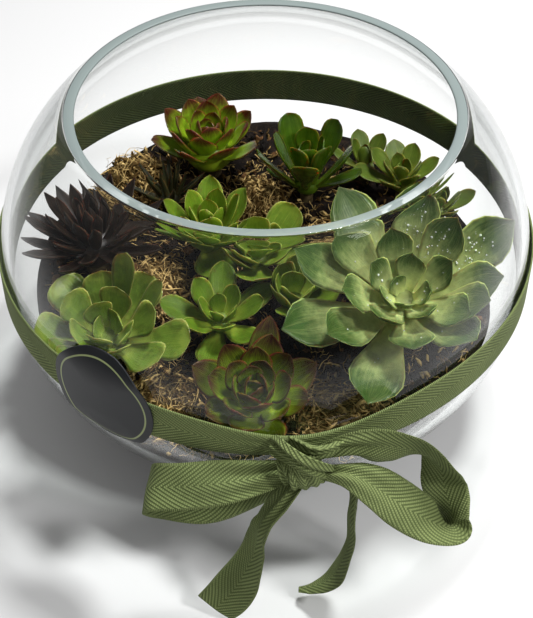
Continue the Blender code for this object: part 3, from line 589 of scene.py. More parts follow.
def leaf_paint():
    """Leaf colours from root to tip, with a differently coloured edge, faint long veins and blotches."""
    group, given = new_group(
        "leaf paint", ("Root", "Middle", "Tip", "Edge", "Worn"),
        ("Edge Reach", "Tip Reach", "Blotch", "Vein", "Root Reach", "Wear"),
    )
    across, along = surface_place(group)
    tint = tint_of(group)
    where = object_place(group)
    off_rib = (across - 0.5).math("ABSOLUTE") * 2.0
    wobble = (noise_of(where, 260.0) - 0.5) * 0.30
    along_rough = along + wobble
    colour = blend(ramp(along_rough, 0.02, given["Root Reach"]), given["Root"], given["Middle"])
    tip = ramp(along_rough, 1.0 - given["Tip Reach"] * 1.6, 0.90)
    colour = blend(tip, colour, given["Tip"])
    edge = ramp(off_rib + wobble * 0.35, 1.0 - given["Edge Reach"], 0.97)
    colour = blend(edge * 0.92, colour, given["Edge"])
    outermost = along.math("MAXIMUM", off_rib * 0.05 + 0.93)
    torn = noise_of(where, 330.0) * 0.16 + outermost
    colour = blend(ramp(torn, 1.045, 1.085) * given["Wear"], colour, given["Worn"])
    stretched = {0: across * 34.0, 1: along * 2.5, 2: tint * 40.0}
    veins = noise_of(value_from(group, "ShaderNodeCombineXYZ", stretched), 1.0, 2.0)
    colour = blend(ramp(veins, 0.45, 0.72) * given["Vein"], colour, given["Root"])
    blotches = ramp(noise_of(where, 170.0, 4.0, 0.6), 0.42, 0.68)
    level = (1.0 - blotches * given["Blotch"]) * (tint * 0.56 + 0.72)
    height = veins * 0.6 + noise_of(where, 900.0) * 0.4
    put(group, "NodeGroupOutput", {"Colour": shaded(colour, level), "Height": height})
    return group


def grain():
    """Two colours mixed in grains and patches, with a matching roughness of the surface."""
    group, given = new_group("grain", ("First", "Second"), ("Scale", "Tint Reach"))
    where = object_place(group)
    tint = tint_of(group)
    coarse = noise_of(where, given["Scale"], 4.0, 0.6)
    share = ramp(coarse + (tint - 0.5) * 1.2, 0.3, 0.75)
    colour = blend(share, given["First"], given["Second"])
    level = (1.0 - given["Tint Reach"]) + tint * (given["Tint Reach"] * 2.0)
    height = coarse + noise_of(where, given["Scale"] * 4.0) * 0.5
    put(group, "NodeGroupOutput", {"Colour": shaded(colour, level), "Height": height})
    return group


def plain_material(name, roughness, **values):
    """A material with its Principled shader, and that shader."""
    material = bpy.data.materials.new(name)
    material.use_nodes = True
    shader = material.node_tree.nodes["Principled BSDF"]
    shader.inputs["Roughness"].default_value = roughness
    for label, value in values.items():
        shader.inputs[label.replace("_", " ")].default_value = value
    return material, shader


def dress(material, shader, name, make, values, bump_strength, bump_depth):
    """Colour and roughen a shader with the node group of that name, made if it isn't there yet."""
    group = bpy.data.node_groups.get(name) or make()
    effect = put(material.node_tree, "ShaderNodeGroup", values, node_tree=group)
    link(Value(effect.outputs["Colour"]), shader, "Base Color")
    roughen(shader, Value(effect.outputs["Height"]), bump_strength, bump_depth)
    return material


def leaf_material(plant):
    look = LOOKS[plant.name]
    material, shader = plain_material(
        plant.name, look.roughness, Specular_IOR_Level=0.28, Subsurface_Weight=0.18, Subsurface_Scale=0.003
    )
    values = {
        name.replace("_", " ").title(): screen_colour(*value) if isinstance(value, tuple) else value
        for name, value in vars(look).items() if name != "roughness"
    }
    return dress(material, shader, "leaf paint", leaf_paint, values, 0.35, 0.0006)


def grainy_material(name, first, second, scale, roughness, tint_reach, bump_depth):
    material, shader = plain_material(name, roughness, Specular_IOR_Level=0.10)
    values = {"First": first, "Second": second, "Scale": scale, "Tint Reach": tint_reach}
    return dress(material, shader, "grain", grain, values, 0.8, bump_depth)


def glass_material(name, tint, edge_tint):
    """Clear glass that lets light through to what is in it."""
    material, shader = plain_material(
        name, 0.0, Base_Color=tint, Transmission_Weight=1.0, IOR=1.45, Specular_Tint=(0.35, 0.35, 0.35, 1.0)
    )
    tree = material.node_tree
    facing = value_from(tree, "ShaderNodeLayerWeight", {"Blend": 0.5}, "Facing")
    link(blend(ramp(facing, 0.55, 1.0), tint, edge_tint), shader, "Base Color")
    rays = put(tree, "ShaderNodeLightPath").outputs
    soft_ray = Value(rays["Is Shadow Ray"]).math("MAXIMUM", Value(rays["Is Diffuse Ray"]))
    clear = value_from(tree, "ShaderNodeBsdfTransparent", {"Color": tint})
    mix = value_from(tree, "ShaderNodeMixShader", {0: soft_ray, 1: Value(shader.outputs[0]), 2: clear})
    link(mix, tree.nodes["Material Output"], "Surface")
    return material


def ribbon_material(name, rib_colour, gap_colour, rib_spacing):
    """Cotton herringbone tape: slanting ribs that meet in the middle, with a flat edge at each side."""
    material, shader = plain_material(name, 0.85, Specular_IOR_Level=0.25)
    tree = material.node_tree
    across, along = surface_place(tree)
    off_middle = across.math("ABSOLUTE")
    stitch = wave_of(along - off_middle * 0.5, STITCH_SPACING)
    rib = ramp(wave_of(along + off_middle * 1.6, rib_spacing), 0.05, 0.75) * (stitch * 0.55 + 0.45)
    edge = ramp(off_middle, 0.0086, 0.0090)
    height = value_from(tree, "ShaderNodeMix", {0: edge, 2: rib, 3: wave_of(along, CROSS_THREAD_SPACING)})
    where = object_place(tree)
    fuzz = noise_of(where, 2600.0, 2.0)
    colour = blend(height, gap_colour, rib_colour)
    colour = blend(ramp(noise_of(where, 60.0), 0.4, 0.7) * 0.35, colour, gap_colour)
    colour = blend(ramp(fuzz, 0.45, 0.8) * 0.35, colour, rib_colour)
    link(colour, shader, "Base Color")
    roughen(shader, height + fuzz * 0.5, 0.8, 0.0004)
    return material


# Leaves


def leaf_frame(leaf, share):
    """The point on a leaf's rib at a share of its length, and the way out of its face there."""
    curl = leaf.curl if abs(leaf.curl) > 0.01 else 0.01
    angle = leaf.rise + curl * share
    radius = leaf.length / curl
    along = leaf.outward * (math.sin(angle) - math.sin(leaf.rise))
    along += leaf.axis * (math.cos(leaf.rise) - math.cos(angle))
    up = leaf.axis * math.cos(angle) - leaf.outward * math.sin(angle)
    return leaf.root + along * radius, up


def simple_leaf(leaf, grow):
    """The leaf as the frame has it, widened all over, as points and faces."""
    side = leaf.axis.cross(leaf.outward)
    points = []
    stations = FRAME_OUTLINES[leaf.outline]
    for share, width in stations:
        point, up = leaf_frame(leaf, share)
        half_width = leaf.width * width / 2 + grow
        thickness = leaf.thickness * (1.0 - LEAF_THINNING * share) + grow
        edge = up * (LEAF_HOLLOW * half_width)
        points += [
            point + side * half_width + edge, point - side * half_width + edge,
            point - up * (thickness + grow),
        ]
    tip, up = leaf_frame(leaf, 1.0 + grow / leaf.length)
    points.append(tip + up * (TIP_LIFT * leaf.width))
    faces = []
    last = len(points) - 4
    for low in range(0, last, 3):
        high = low + 3
        for i, j in ((0, 1), (1, 2), (2, 0)):
            faces += [(low + i, low + j, high + j), (low + i, high + j, high + i)]
    faces.append((0, 1, 2))
    faces += [(last + i, last + (i + 1) % 3, last + 3) for i in range(3)]
    return points, faces


def tree_of(leaves, grow=0.0):
    """A search tree of the leaves' surfaces, for telling where two pieces cross."""
    points = []
    faces = []
    for leaf in leaves:
        leaf_points, leaf_faces = simple_leaf(leaf, grow)
        faces += [tuple(len(points) + i for i in face) for face in leaf_faces]
        points += leaf_points
    return BVHTree.FromPolygons(points, faces)


def planned_leaves(plant):
    """The plant's leaves before they are fitted between its neighbours, as in the frame."""
    axis = plant.axis
    centre = Vector(plant.centre)
    across = axis.cross(Vector((0.0, 1.0, 0.0))).normalized()
    draw = random.Random(plant.name)
    planned = []
    for i in range(plant.leaves):
        share = i / (plant.leaves - 1)
        angle = math.radians(plant.turn + draw.uniform(-6, 6)) + i * GOLDEN_ANGLE
        outward = Matrix.Rotation(angle, 3, axis) @ across
        length = plant.length[0] + (plant.length[1] - plant.length[0]) * share ** 1.5
        length *= draw.uniform(0.93, 1.04)
        rise = plant.rise[0] + (plant.rise[1] - plant.rise[0]) * share + draw.uniform(-4, 4)
        seat = math.radians(-12 + 92 * share)
        root = outward * math.cos(seat) + axis * CORE_HEIGHT * math.sin(seat)
        planned.append(Leaf(
            centre + root * plant.core * 0.62, outward, axis, length,
            length ** 0.6 * plant.length[0] ** 0.4 * plant.width, plant.thickness, math.radians(rise),
            math.radians(plant.curl), plant.outline, share,
        ))
    for turn, rise, length, width in plant.single_leaves:
        outward = Matrix.Rotation(math.radians(turn), 3, UP) @ Vector((1.0, 0.0, 0.0))
        planned.append(Leaf(
            centre + outward * plant.core * 0.5, outward, UP, length, width, plant.thickness,
            math.radians(rise), math.radians(10), plant.outline,
        ))
    return planned


def fitted_leaf(leaf, obstacles):
    """The leaf bent up and shortened in small steps until it is clear of its neighbours, or None."""
    for step in range(FITTING_STEPS):
        trial = replace(
            leaf, length=leaf.length * (1.0 - 0.035 * step), width=leaf.width * (1.0 - 0.02 * step),
            rise=leaf.rise + math.radians(6.5) * step,
        )
        own = tree_of([trial], LEAF_CLEARANCE)
        if not any(own.overlap(obstacle) for obstacle in obstacles):
            return trial
    return None


def turn_to(way):
    """The turn that takes the upright to a way."""
    return UP.rotation_difference(way).to_matrix().to_4x4()


def core_tree(plant, grow):
    """A search tree of the plant's stem head."""
    shape = bmesh.new()
    flat = Matrix.Diagonal((1.0, 1.0, CORE_HEIGHT, 1.0))
    place = Matrix.Translation(plant.centre) @ turn_to(plant.axis) @ flat
    bmesh.ops.create_uvsphere(shape, u_segments=8, v_segments=5, radius=plant.core + grow, matrix=place)
    tree = BVHTree.FromBMesh(shape)
    shape.free()
    return tree


def node_tree_of(name):
    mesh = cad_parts[name].data
    return BVHTree.FromPolygons([v.co for v in mesh.vertices], [tuple(p.vertices) for p in mesh.polygons])


def fitted_plants():
    """Each plant with its leaves, fitted between the glass, the soil and its neighbours as in the frame."""
    around = [node_tree_of("glass_bowl"), node_tree_of("soil")]
    cores = {plant.name: core_tree(plant, LEAF_CLEARANCE) for plant in PLANTS}
    grown = []
    fitted = []
    for plant in PLANTS:
        others = [tree for name, tree in cores.items() if name != plant.name]
        tried = [fitted_leaf(leaf, around + others + grown) for leaf in planned_leaves(plant)]
        leaves = [leaf for leaf in tried if leaf]
        grown += [tree_of(leaves), cores[plant.name]]
        fitted.append((plant, leaves))
    return fitted


def add_leaf(shape, leaf, draw):
    """A leaf with a hollowed face, a rounded keel, thin edges and a small point, a little waved."""
    side = leaf.axis.cross(leaf.outward)
    wave = draw.uniform(0, math.tau)
    wave_depth = draw.uniform(0.01, 0.05) * leaf.width
    bend = draw.uniform(-0.05, 0.05) * leaf.length
    points = []
    places = []
    for share, width in zip(LEAF_STATIONS, LEAF_WIDTHS[leaf.outline]):
        middle, up = leaf_frame(leaf, share)
        middle = middle + side * bend * share * share * 0.5
        half_width = leaf.width * width / 2
        thickness = leaf.thickness * (1.0 - LEAF_THINNING * share) * math.sqrt(max(0.02, 1.0 - share ** 6))
        lift = TIP_LIFT * leaf.width * share ** 4
        for i, spot in enumerate(FACE_SPOTS + KEEL_SPOTS):
            if i < len(FACE_SPOTS):
                depth = 0.22 * thickness * math.exp(-((spot / 0.3) ** 2))
            else:
                depth = thickness * (1.0 - spot * spot) ** 0.7
            hollow = LEAF_HOLLOW * half_width * spot * spot
            waved = wave_depth * math.sin(wave + share * 7.0) * spot * abs(spot) * share
            points.append(middle + side * half_width * spot + up * (hollow - depth + waved + lift))
            places.append((0.5 + 0.5 * spot, share))
    count = len(FACE_SPOTS) + len(KEEL_SPOTS)
    shape.loft(points, count, places, tint=0.6 * leaf.age + 0.4 * draw.uniform(0.0, 1.0))


def add_ball(shape, place, rows=8, columns=14, tint=0.5, where=(0.5, 0.0)):
    """A ball of radius 1 before the matrix places it."""
    points = []
    for row in range(1, rows):
        tall = math.pi * row / rows
        points += [place @ Vector(spot) for spot in ring(math.sin(tall), math.cos(tall), columns)]
    shape.loft(points, columns, [where] * len(points), tint)


def add_core(shape, plant):
    """The plant's short stem head, and its stem down into the soil."""
    size = Matrix.Diagonal((plant.core, plant.core, plant.core * CORE_HEIGHT, 1.0))
    place = Matrix.Translation(plant.centre) @ turn_to(plant.axis) @ size
    # The low tint makes the stem head darker than the leaves round it: painted shade at the rosette's heart
    add_ball(shape, place, tint=0.2, where=(0.5, 0.35))
    x, y, z = plant.centre
    stem = ring(0.5 * plant.core, 0.0, STEM_SIDES)
    points = [
        (x + off_x, y + off_y, height)
        for height in (soil_height(x, y) - STEM_DEPTH, z) for off_x, off_y, _ in stem
    ]
    shape.loft(points, STEM_SIDES, finish=1)


# Ribbon


def smooth_between(values, share):
    """A point on the smooth curve through evenly spaced values, at a share of its length."""
    place = share * (len(values) - 1)
    i = min(int(place), len(values) - 2)
    t = place - i
    before, start, end, after = (values[max(0, min(len(values) - 1, k))] for k in (i - 1, i, i + 1, i + 2))
    return 0.5 * (
        2 * start + (end - before) * t + (2 * before - 5 * start + 4 * end - after) * t * t
        + (3 * start - before - 3 * end + after) * t * t * t
    )


def add_tape(
    shape, stations, full_width, rows, thickness=TAPE_THICKNESS, folds=2.0, columns=16, seed=0.0, cut_from=1.0
):
    """A tape along its stations. Where it is gathered narrower than its full width it lies in folds.

    From the share cut_from on it is narrower because it is cut to a point. Returns its middle's length.
    """
    middles = [Vector([number / 10000 for number in station[:3]]) for station in stations]
    acrosses = [Vector([number / 100 for number in station[3:6]]).normalized() for station in stations]
    widths = [station[6] / 10000 for station in stations]
    spots = [i / columns - 0.5 for i in range(columns + 1)]
    points = []
    places = []
    length = 0.0
    last = middles[0]
    for row in range(rows + 1):
        share = row / rows
        middle = smooth_between(middles, share)
        length += (middle - last).length
        last = middle
        before, after = max(0.0, share - 0.01), min(1.0, share + 0.01)
        ahead = smooth_between(middles, after) - smooth_between(middles, before)
        across = smooth_between(acrosses, share)
        across = (across - ahead * across.dot(ahead) / ahead.length_squared).normalized()
        out = ahead.cross(across).normalized()
        width = smooth_between(widths, share)
        tape_there = full_width if share < cut_from else width
        spare = math.sqrt(max(0.0, tape_there ** 2 - width ** 2))
        depth = 0.55 * spare / (4 * folds)
        over = []
        under = []
        for spot in spots:
            fold = depth * math.sin(math.tau * folds * spot + seed)
            ripple = 0.0004 * math.sin(210 * length + 5 * spot + seed)
            point = middle + across * width * spot + out * (fold + ripple)
            half = thickness / 2 * math.sqrt(1.0 - 0.96 * abs(2 * spot) ** 6)
            over.append(point + out * half)
            under.append(point - out * half)
        points += over + under[::-1]
        places += [(spot * tape_there, length) for spot in spots + spots[::-1]]
    shape.loft(points, 2 * len(spots), places)
    return length


def knot_nearness(angle, spread):
    """1 at the knot, falling to 0 away from it round the bowl."""
    apart = (angle - KNOT_ANGLE + math.pi) % math.tau - math.pi
    return math.exp(-((apart / spread) ** 2))


# Settings


def colour_setting(name, description, default):
    return bpy.props.FloatVectorProperty(
        name=name, description=description, default=default, size=4, subtype="COLOR", min=0.0, max=1.0
    )


def length_setting(name, description, default, low, high):
    return bpy.props.FloatProperty(
        name=name, description=description, default=default, unit="LENGTH", min=low, max=high
    )


class SucculentBowlSettings(bpy.types.PropertyGroup):
    """Sizes and colours of the planted bowl."""

    glass_tint: colour_setting(
        "Glass tint", "Colour that the glass gives to what is seen through it", (0.975, 0.985, 0.98, 1.0)
    )
    glass_edge_tint: colour_setting(
        "Glass edge tint", "Darker colour of the glass where it is seen edge on", (0.40, 0.44, 0.43, 1.0)
    )
    ribbon_colour: colour_setting("Ribbon colour", "Colour of the tape's ribs", screen_colour(136, 148, 94))
    ribbon_shade: colour_setting("Ribbon shade", "Colour between the tape's ribs", screen_colour(74, 86, 46))
    # Painted shade: the darker colour of the band's side on the glass, seen through it
    ribbon_inside: colour_setting(
        "Ribbon inside", "Colour between the ribs on the side that lies on the glass", screen_colour(34, 38, 18)
    )
    tape_width: length_setting("Tape width", "Width of the ribbon laid flat", 0.0195, 0.01, 0.03)
    rib_spacing: length_setting(
        "Rib spacing", "Distance from one slanting rib of the tape to the next, along it", 0.0027, 0.0005, 0.005
    )
    label_colour: colour_setting("Label colour", "Colour of the round label", screen_colour(20, 22, 25))
    label_ring_colour: colour_setting(
        "Label ring colour", "Colour of the thin ring printed on the label", screen_colour(150, 160, 110)
    )
    label_radius: length_setting("Label radius", "Radius of the round label", 0.0255, 0.01, 0.03)
    moss_colour: colour_setting("Moss colour", "Colour of the dry moss strands", screen_colour(188, 160, 104))
    moss_shade: colour_setting(
        "Moss shade", "Darker colour of some of the moss strands", screen_colour(104, 80, 42)
    )
    soil_colour: colour_setting("Soil colour", "Colour of the potting soil", screen_colour(15, 11, 9))
    crumb_count: bpy.props.IntProperty(
        name="Soil crumbs", description="Number of bark and soil crumbs on the soil",
        default=3600, min=0, max=8000,
    )
    drop_count: bpy.props.IntProperty(
        name="Water drops", description="Number of water drops on the large rosette's leaves",
        default=240, min=0, max=600,
    )


def settings_of(context):
    return context.scene.succulent_bowl


# Operators


class SUCCULENT_OT_glass(bpy.types.Operator):
    """Turn the glass bowl from its profile"""

    bl_idname = "succulent.glass"
    bl_label = "Glass bowl"

    def execute(self, context):
        settings = settings_of(context)
        turns = 144
        outer = ellipse_points(BOWL_RADIUS, BOWL_HALF_HEIGHT, 0.0006, RIM_Z - RIM_ROUNDING, 44)
        inner = ellipse_points(
            BOWL_RADIUS - WALL, BOWL_HALF_HEIGHT - WALL, INNER_WALL_FOOT, RIM_Z - 0.0020, 38
        )
        top = outer[0][0]
        rim = [
            (top - RIM_WIDTH, RIM_Z - RIM_ROUNDING), (top - RIM_WIDTH + 0.0002, RIM_Z - 0.0002),
            (top - RIM_WIDTH + RIM_ROUNDING, RIM_Z), (top - RIM_ROUNDING, RIM_Z),
            (top - 0.0002, RIM_Z - 0.0002),
        ]
        base = [(0.0572, 0.0), (0.028, 0.0), (0.0006, 0.0)]
        floor = [(0.0006, FLOOR_Z), (0.024, FLOOR_Z), (0.045, FLOOR_Z), (0.060, 0.0078)]
        profile = floor + inner[::-1] + rim + outer + base
        shape = Shape()
        shape.loft([spot for radius, z in profile for spot in ring(radius, z, turns)], turns)
        first_rim = (len(floor) + len(inner)) * turns
        shape.finishes[first_rim:first_rim + 3 * turns] = [1] * (3 * turns)
        clear = glass_material("clear_glass", tuple(settings.glass_tint), tuple(settings.glass_edge_tint))
        ground, _ = plain_material(
            "ground_rim", 0.45, Base_Color=screen_colour(142, 154, 152), Alpha=0.62, Specular_IOR_Level=0.3
        )
        bowl = shape.piece("bowl_glass", [clear, ground], "glass_bowl", "glass")
        facing_out = bmesh.new()
        facing_out.from_mesh(bowl.data)
        bmesh.ops.recalc_face_normals(facing_out, faces=facing_out.faces)
        facing_out.to_mesh(bowl.data)
        facing_out.free()
        return {"FINISHED"}


class SUCCULENT_OT_gravel(bpy.types.Operator):
    """Heap pebbles along the glass at the bottom"""

    bl_idname = "succulent.gravel"
    bl_label = "Gravel"

    def execute(self, context):
        draw = random.Random("gravel")
        shape = Shape()
        placed = []
        for _ in range(5200):
            turn = draw.uniform(0, math.tau)
            size = draw.uniform(0.0017, 0.0034)
            z = draw.uniform(0.009, 0.048)
            spot = Vector(round_spot(inner_radius(z) - GAP * 2 - size, turn, z))
            if z + size * 0.6 > gravel_height(spot.x, spot.y):
                continue
            if any((spot - other).length < 0.86 * (size + other_size) for other, other_size in placed):
                continue
            placed.append((spot, size))
            self.add_pebble(shape, spot, size, draw)
        self.add_bed(shape)
        stone = grainy_material(
            "gravel_stone", screen_colour(66, 60, 56), screen_colour(150, 134, 124), 420.0, 0.7, 0.35, 0.0004
        )
        shape.piece("gravel_pebbles", [stone], "gravel", "gravel")
        return {"FINISHED"}

    def add_pebble(self, shape, spot, size, draw):
        turn = Matrix.Rotation(draw.uniform(0, 6.3), 4, Vector((draw.uniform(-1, 1), draw.uniform(-1, 1), 1)))
        flat = Matrix.Diagonal((1.0, draw.uniform(0.7, 1.0), draw.uniform(0.55, 0.9), 1.0))
        place = Matrix.Translation(spot) @ turn @ flat @ Matrix.Scale(size, 4)
        add_ball(shape, place, 6, 8, draw.uniform(0.0, 1.0))

    def add_bed(self, shape):
        """The body of gravel behind the pebbles that show, a little in from the glass."""
        turns, inset, sink = 72, 0.0032, 0.0015
        points = []
        for z in (0.0080, 0.012, 0.017, GRAVEL_LEVEL):
            for angle in angles(turns):
                x, y, height = round_spot(inner_radius(z) - inset, angle, z)
                if z == GRAVEL_LEVEL:
                    height = gravel_height(x, y) - sink
                points.append(round_spot(inner_radius(height) - inset, angle, height))
        for share in (0.85, 0.6, 0.3):
            for x, y, _ in ring((inner_radius(GRAVEL_LEVEL) - inset) * share, 0.0, turns):
                points.append((x, y, gravel_height(x, y) - sink))
        # The low tint makes the bed darker than the pebbles: painted shade in the gaps between them
        shape.loft(points, turns, tint=0.1)


class SUCCULENT_OT_soil(bpy.types.Operator):
    """Fill the bowl with soil and strew it with crumbs of bark"""

    bl_idname = "succulent.soil"
    bl_label = "Soil"

    def execute(self, context):
        settings = settings_of(context)
        shape = Shape()
        self.add_ground(shape)
        soil = grainy_material(
            "soil_ground", tuple(settings.soil_colour), screen_colour(50, 37, 27), 260.0, 0.95, 0.3, 0.0006
        )
        shape.piece("soil_bed", [soil], "soil", "soil")
        bark = grainy_material(
            "soil_bark", screen_colour(14, 10, 8), screen_colour(88, 62, 38), 240.0, 0.9, 0.4, 0.0004
        )
        crumbs = Shape()
        draw = random.Random("crumbs")
        for _ in range(settings.crumb_count):
            turn = draw.uniform(0, math.tau)
            reach = 0.112 * math.sqrt(draw.uniform(0, 1))
            size = 0.0007 + 0.0034 * draw.uniform(0, 1) ** 3.5
            x, y, _ = round_spot(reach, turn, 0.0)
            z = soil_height(x, y) + size * 0.25
            if reach + size <= inner_radius(z) - 0.0008:
                self.add_crumb(crumbs, Vector((x, y, z)), size, draw)
        crumbs.piece("soil_crumbs", [bark], slot="soil", smooth=False)
        return {"FINISHED"}

    def add_ground(self, shape):
        """The soil from the gravel up to its top along the glass, and over its uneven top to the middle."""
        turns, top_rows = 120, 40
        edges = []
        for angle in angles(turns):
            z = SOIL_LEVEL
            for _ in range(6):
                x, y, _ = round_spot(inner_radius(z) - GAP, angle, z)
                z = soil_height(x, y)
            edges.append((angle, z))
        points = []
        for share in (0.0, 0.2, 0.4, 0.6, 0.8, 1.0):
            for angle, edge in edges:
                x, y, _ = round_spot(0.10, angle, 0.0)
                low = gravel_height(x, y) + 0.0004
                z = low + (edge - low) * share
                points.append(round_spot(inner_radius(z) - GAP, angle, z))
        for step in range(1, top_rows):
            for angle, edge in edges:
                x, y, _ = round_spot((inner_radius(edge) - GAP) * (1.0 - step / top_rows), angle, 0.0)
                rough = 0.0018 * noise.noise(Vector((x * 130, y * 130, 0.0)))
                rough += 0.0009 * noise.noise(Vector((x * 460, y * 460, 4.0)))
                points.append((x, y, soil_height(x, y) + rough))
        shape.loft(points, turns, tint=0.4)

    def add_crumb(self, shape, spot, size, draw):
        axis = any_way(draw, 0.2)
        turn = Matrix.Rotation(draw.uniform(0, 6.3), 4, axis)
        flat = Matrix.Diagonal((draw.uniform(0.7, 1.5), draw.uniform(0.6, 1.0), draw.uniform(0.35, 0.8), 1.0))
        place = Matrix.Translation(spot) @ turn @ flat @ Matrix.Scale(size, 4)
        corners = ((1, 0, 0), (0, 1, 0), (-1, 0, 0), (0, -1, 0), (0, 0, 1), (0, 0, -1))
        corners = [place @ (Vector(corner) * draw.uniform(0.75, 1.2)) for corner in corners]
        faces = [(i, (i + 1) % 4, 4) for i in range(4)] + [((i + 1) % 4, i, 5) for i in range(4)]
        shape.add(corners, faces, tint=draw.uniform(0, 1) ** 2)


class SUCCULENT_OT_plants(bpy.types.Operator):
    """Grow the fourteen plants"""

    bl_idname = "succulent.plants"
    bl_label = "Plants"

    def execute(self, context):
        bark = grainy_material(
            "stem_bark", screen_colour(38, 30, 20), screen_colour(86, 74, 48), 300.0, 0.85, 0.3, 0.0003
        )
        for plant, leaves in fitted_plants():
            shape = Shape()
            add_core(shape, plant)
            draw = random.Random(plant.name + " leaf forms")
            for leaf in leaves:
                add_leaf(shape, leaf, draw)
            shape.piece(plant.name + "_leaves", [leaf_material(plant), bark], plant.name, plant.slot)
        return {"FINISHED"}


class SUCCULENT_OT_drops(bpy.types.Operator):
    """Set water drops on the large rosette's leaves"""

    bl_idname = "succulent.drops"
    bl_label = "Water drops"

    def execute(self, context):
        leaves = fitted_plants()[0][1]
        wet = [leaf for leaf in leaves if leaf.outward.x > 0.1 and leaf.outward.y > 0.15 and leaf.age < 0.7]
        draw = random.Random("drops")
        shape = Shape()
        for k in range(settings_of(context).drop_count):
            leaf = draw.choice(wet if k % 4 else leaves)
            middle, up = leaf_frame(leaf, draw.uniform(0.4, 0.92))
            side = leaf.axis.cross(leaf.outward)
            spot = draw.uniform(-0.7, 0.7)
            half_width = leaf.width / 2 * 0.8
            place = middle + side * half_width * spot
            place += up * (LEAF_HOLLOW * half_width * spot * spot + 0.0001)
            size = 0.0002 + 0.0005 * draw.uniform(0, 1) ** 3
            flat = Matrix.Diagonal((size, size, size * 0.7, 1.0))
            add_ball(shape, Matrix.Translation(place) @ turn_to(up) @ flat, 6, 10)
        # Nearly half of each drop is opaque near-white: painted glint on the clear water
        water, _ = plain_material(
            "water", 0.05, Base_Color=(0.95, 0.97, 0.97, 1.0), Transmission_Weight=0.55, IOR=1.33
        )
        shape.piece("water_drops", [water], slot="echeveria")
        return {"FINISHED"}


class SUCCULENT_OT_moss(bpy.types.Operator):
    """Lay clumps of moss strands on the soil"""

    bl_idname = "succulent.moss"
    bl_label = "Moss"

    def execute(self, context):
        settings = settings_of(context)
        material = grainy_material(
            "moss_strands", tuple(settings.moss_shade), tuple(settings.moss_colour), 150.0, 0.9, 0.35, 0.0003
        )
        for clump in MOSS_CLUMPS:
            draw = random.Random(clump.name)
            shape = Shape()
            self.add_bed(shape, clump)
            for k in range(clump.strands):
                self.add_strand(shape, clump, draw, k % 5 < 3)
            shape.piece(clump.name + "_strands", [material], clump.name, "moss")
        self.add_litter(material)
        return {"FINISHED"}

    def add_litter(self, material):
        """Loose strands and flakes on the soil between the plants, thickest next to the clumps."""
        draw = random.Random("litter")
        shape = Shape()
        lowest = 0.0003
        for k in range(3400):
            if k % 3:
                clump = draw.choice(MOSS_CLUMPS)
                x, y = (draw.gauss(0, half) + middle for half, middle in zip(clump.half_size, clump.place))
            else:
                turn = draw.uniform(0, math.tau)
                x, y, _ = round_spot(0.108 * math.sqrt(draw.uniform(0, 1)), turn, 0.0)
            heading = draw.uniform(0, math.tau)
            wide = k % 2 == 0
            step = draw.uniform(0.0008, 0.0016)
            height = draw.uniform(lowest, 0.0034)
            line = []
            for _ in range(4 if wide else 7):
                line.append(Vector((x, y, soil_height(x, y) + height)))
                heading += draw.uniform(-0.7, 0.7)
                x += step * math.cos(heading)
                y += step * math.sin(heading)
                height = max(lowest, height + draw.uniform(-0.0006, 0.0008))
            if max(math.hypot(spot.x, spot.y) for spot in line) <= inner_radius(line[0].z) - 0.002:
                width = draw.uniform(0.0005, 0.0013) if wide else 0.00026
                self.add_line(shape, line, width, wide, draw)
        shape.piece("moss_litter", [material], slot="moss")

    def add_bed(self, shape, clump):
        """The rounded body of a clump under its strands."""
        rows, columns = 7, 18
        points = []
        for row in range(rows):
            tall = (math.pi / 2) * (1.0 - row / rows) + 0.02
            for spot in ring(math.sin(tall), math.cos(tall), columns):
                way = Vector(spot)
                points.append(clump.spot_on(way, 0.72 + 0.25 * clump.rough_at(way)))
        # The low tint makes the bed darker than the strands: painted shade under them
        shape.loft(points, columns, tint=0.15)

    def add_strand(self, shape, clump, draw, wide):
        """A curled strand, or a wider flake, that lies along the clump or stands out of it a little."""
        turn = draw.uniform(0, math.tau)
        rise = draw.uniform(0.03, 1.0)
        way = Vector(round_spot(math.sqrt(1.0 - rise * rise), turn, rise))
        heading = any_way(draw, -0.8)
        rough = 1.0 + 0.35 * clump.rough_at(way)
        reach = draw.uniform(0.70, 0.95) * rough
        lift = draw.gauss(0.01, 0.05)
        width = draw.uniform(0.0006, 0.0014) if wide else draw.uniform(0.00016, 0.00034)
        stride = draw.uniform(0.07, 0.15) if wide else draw.uniform(0.10, 0.24)
        line = []
        for _ in range(4 if wide else 6):
            line.append(clump.spot_on(way, reach))
            heading += any_way(draw, -1.0) * 0.8
            along = (heading - way * heading.dot(way)).normalized()
            way = (way + along * stride).normalized()
            way.z = max(way.z, 0.02)
            reach = min(1.22, max(0.66, reach + lift))
        self.add_line(shape, line, width, wide, draw)

    def add_line(self, shape, line, width, wide, draw):
        """A strand with three sides, or a flake: wide in its middle, thin and twisted."""
        points = []
        twist = draw.uniform(0, math.pi)
        steps = len(line) - 1
        for i, spot in enumerate(line):
            ahead = (line[min(i + 1, steps)] - line[max(i - 1, 0)]).normalized()
            level = ahead.cross(Vector((0.3, 0.2, 1.0))).normalized()
            out = level.cross(ahead)
            turn = twist + 0.5 * i
            side = level * math.cos(turn) + out * math.sin(turn)
            over = out * math.cos(turn) - level * math.sin(turn)
            share = i / steps
            size = width * (0.35 + 2.6 * share * (1.0 - share) if wide else 1.0 - 0.6 * share)
            points += [spot + side * size, spot - side * size, spot + over * (0.22 if wide else 1.0) * size]
        shape.loft(points, 3, tint=draw.uniform(0, 1))


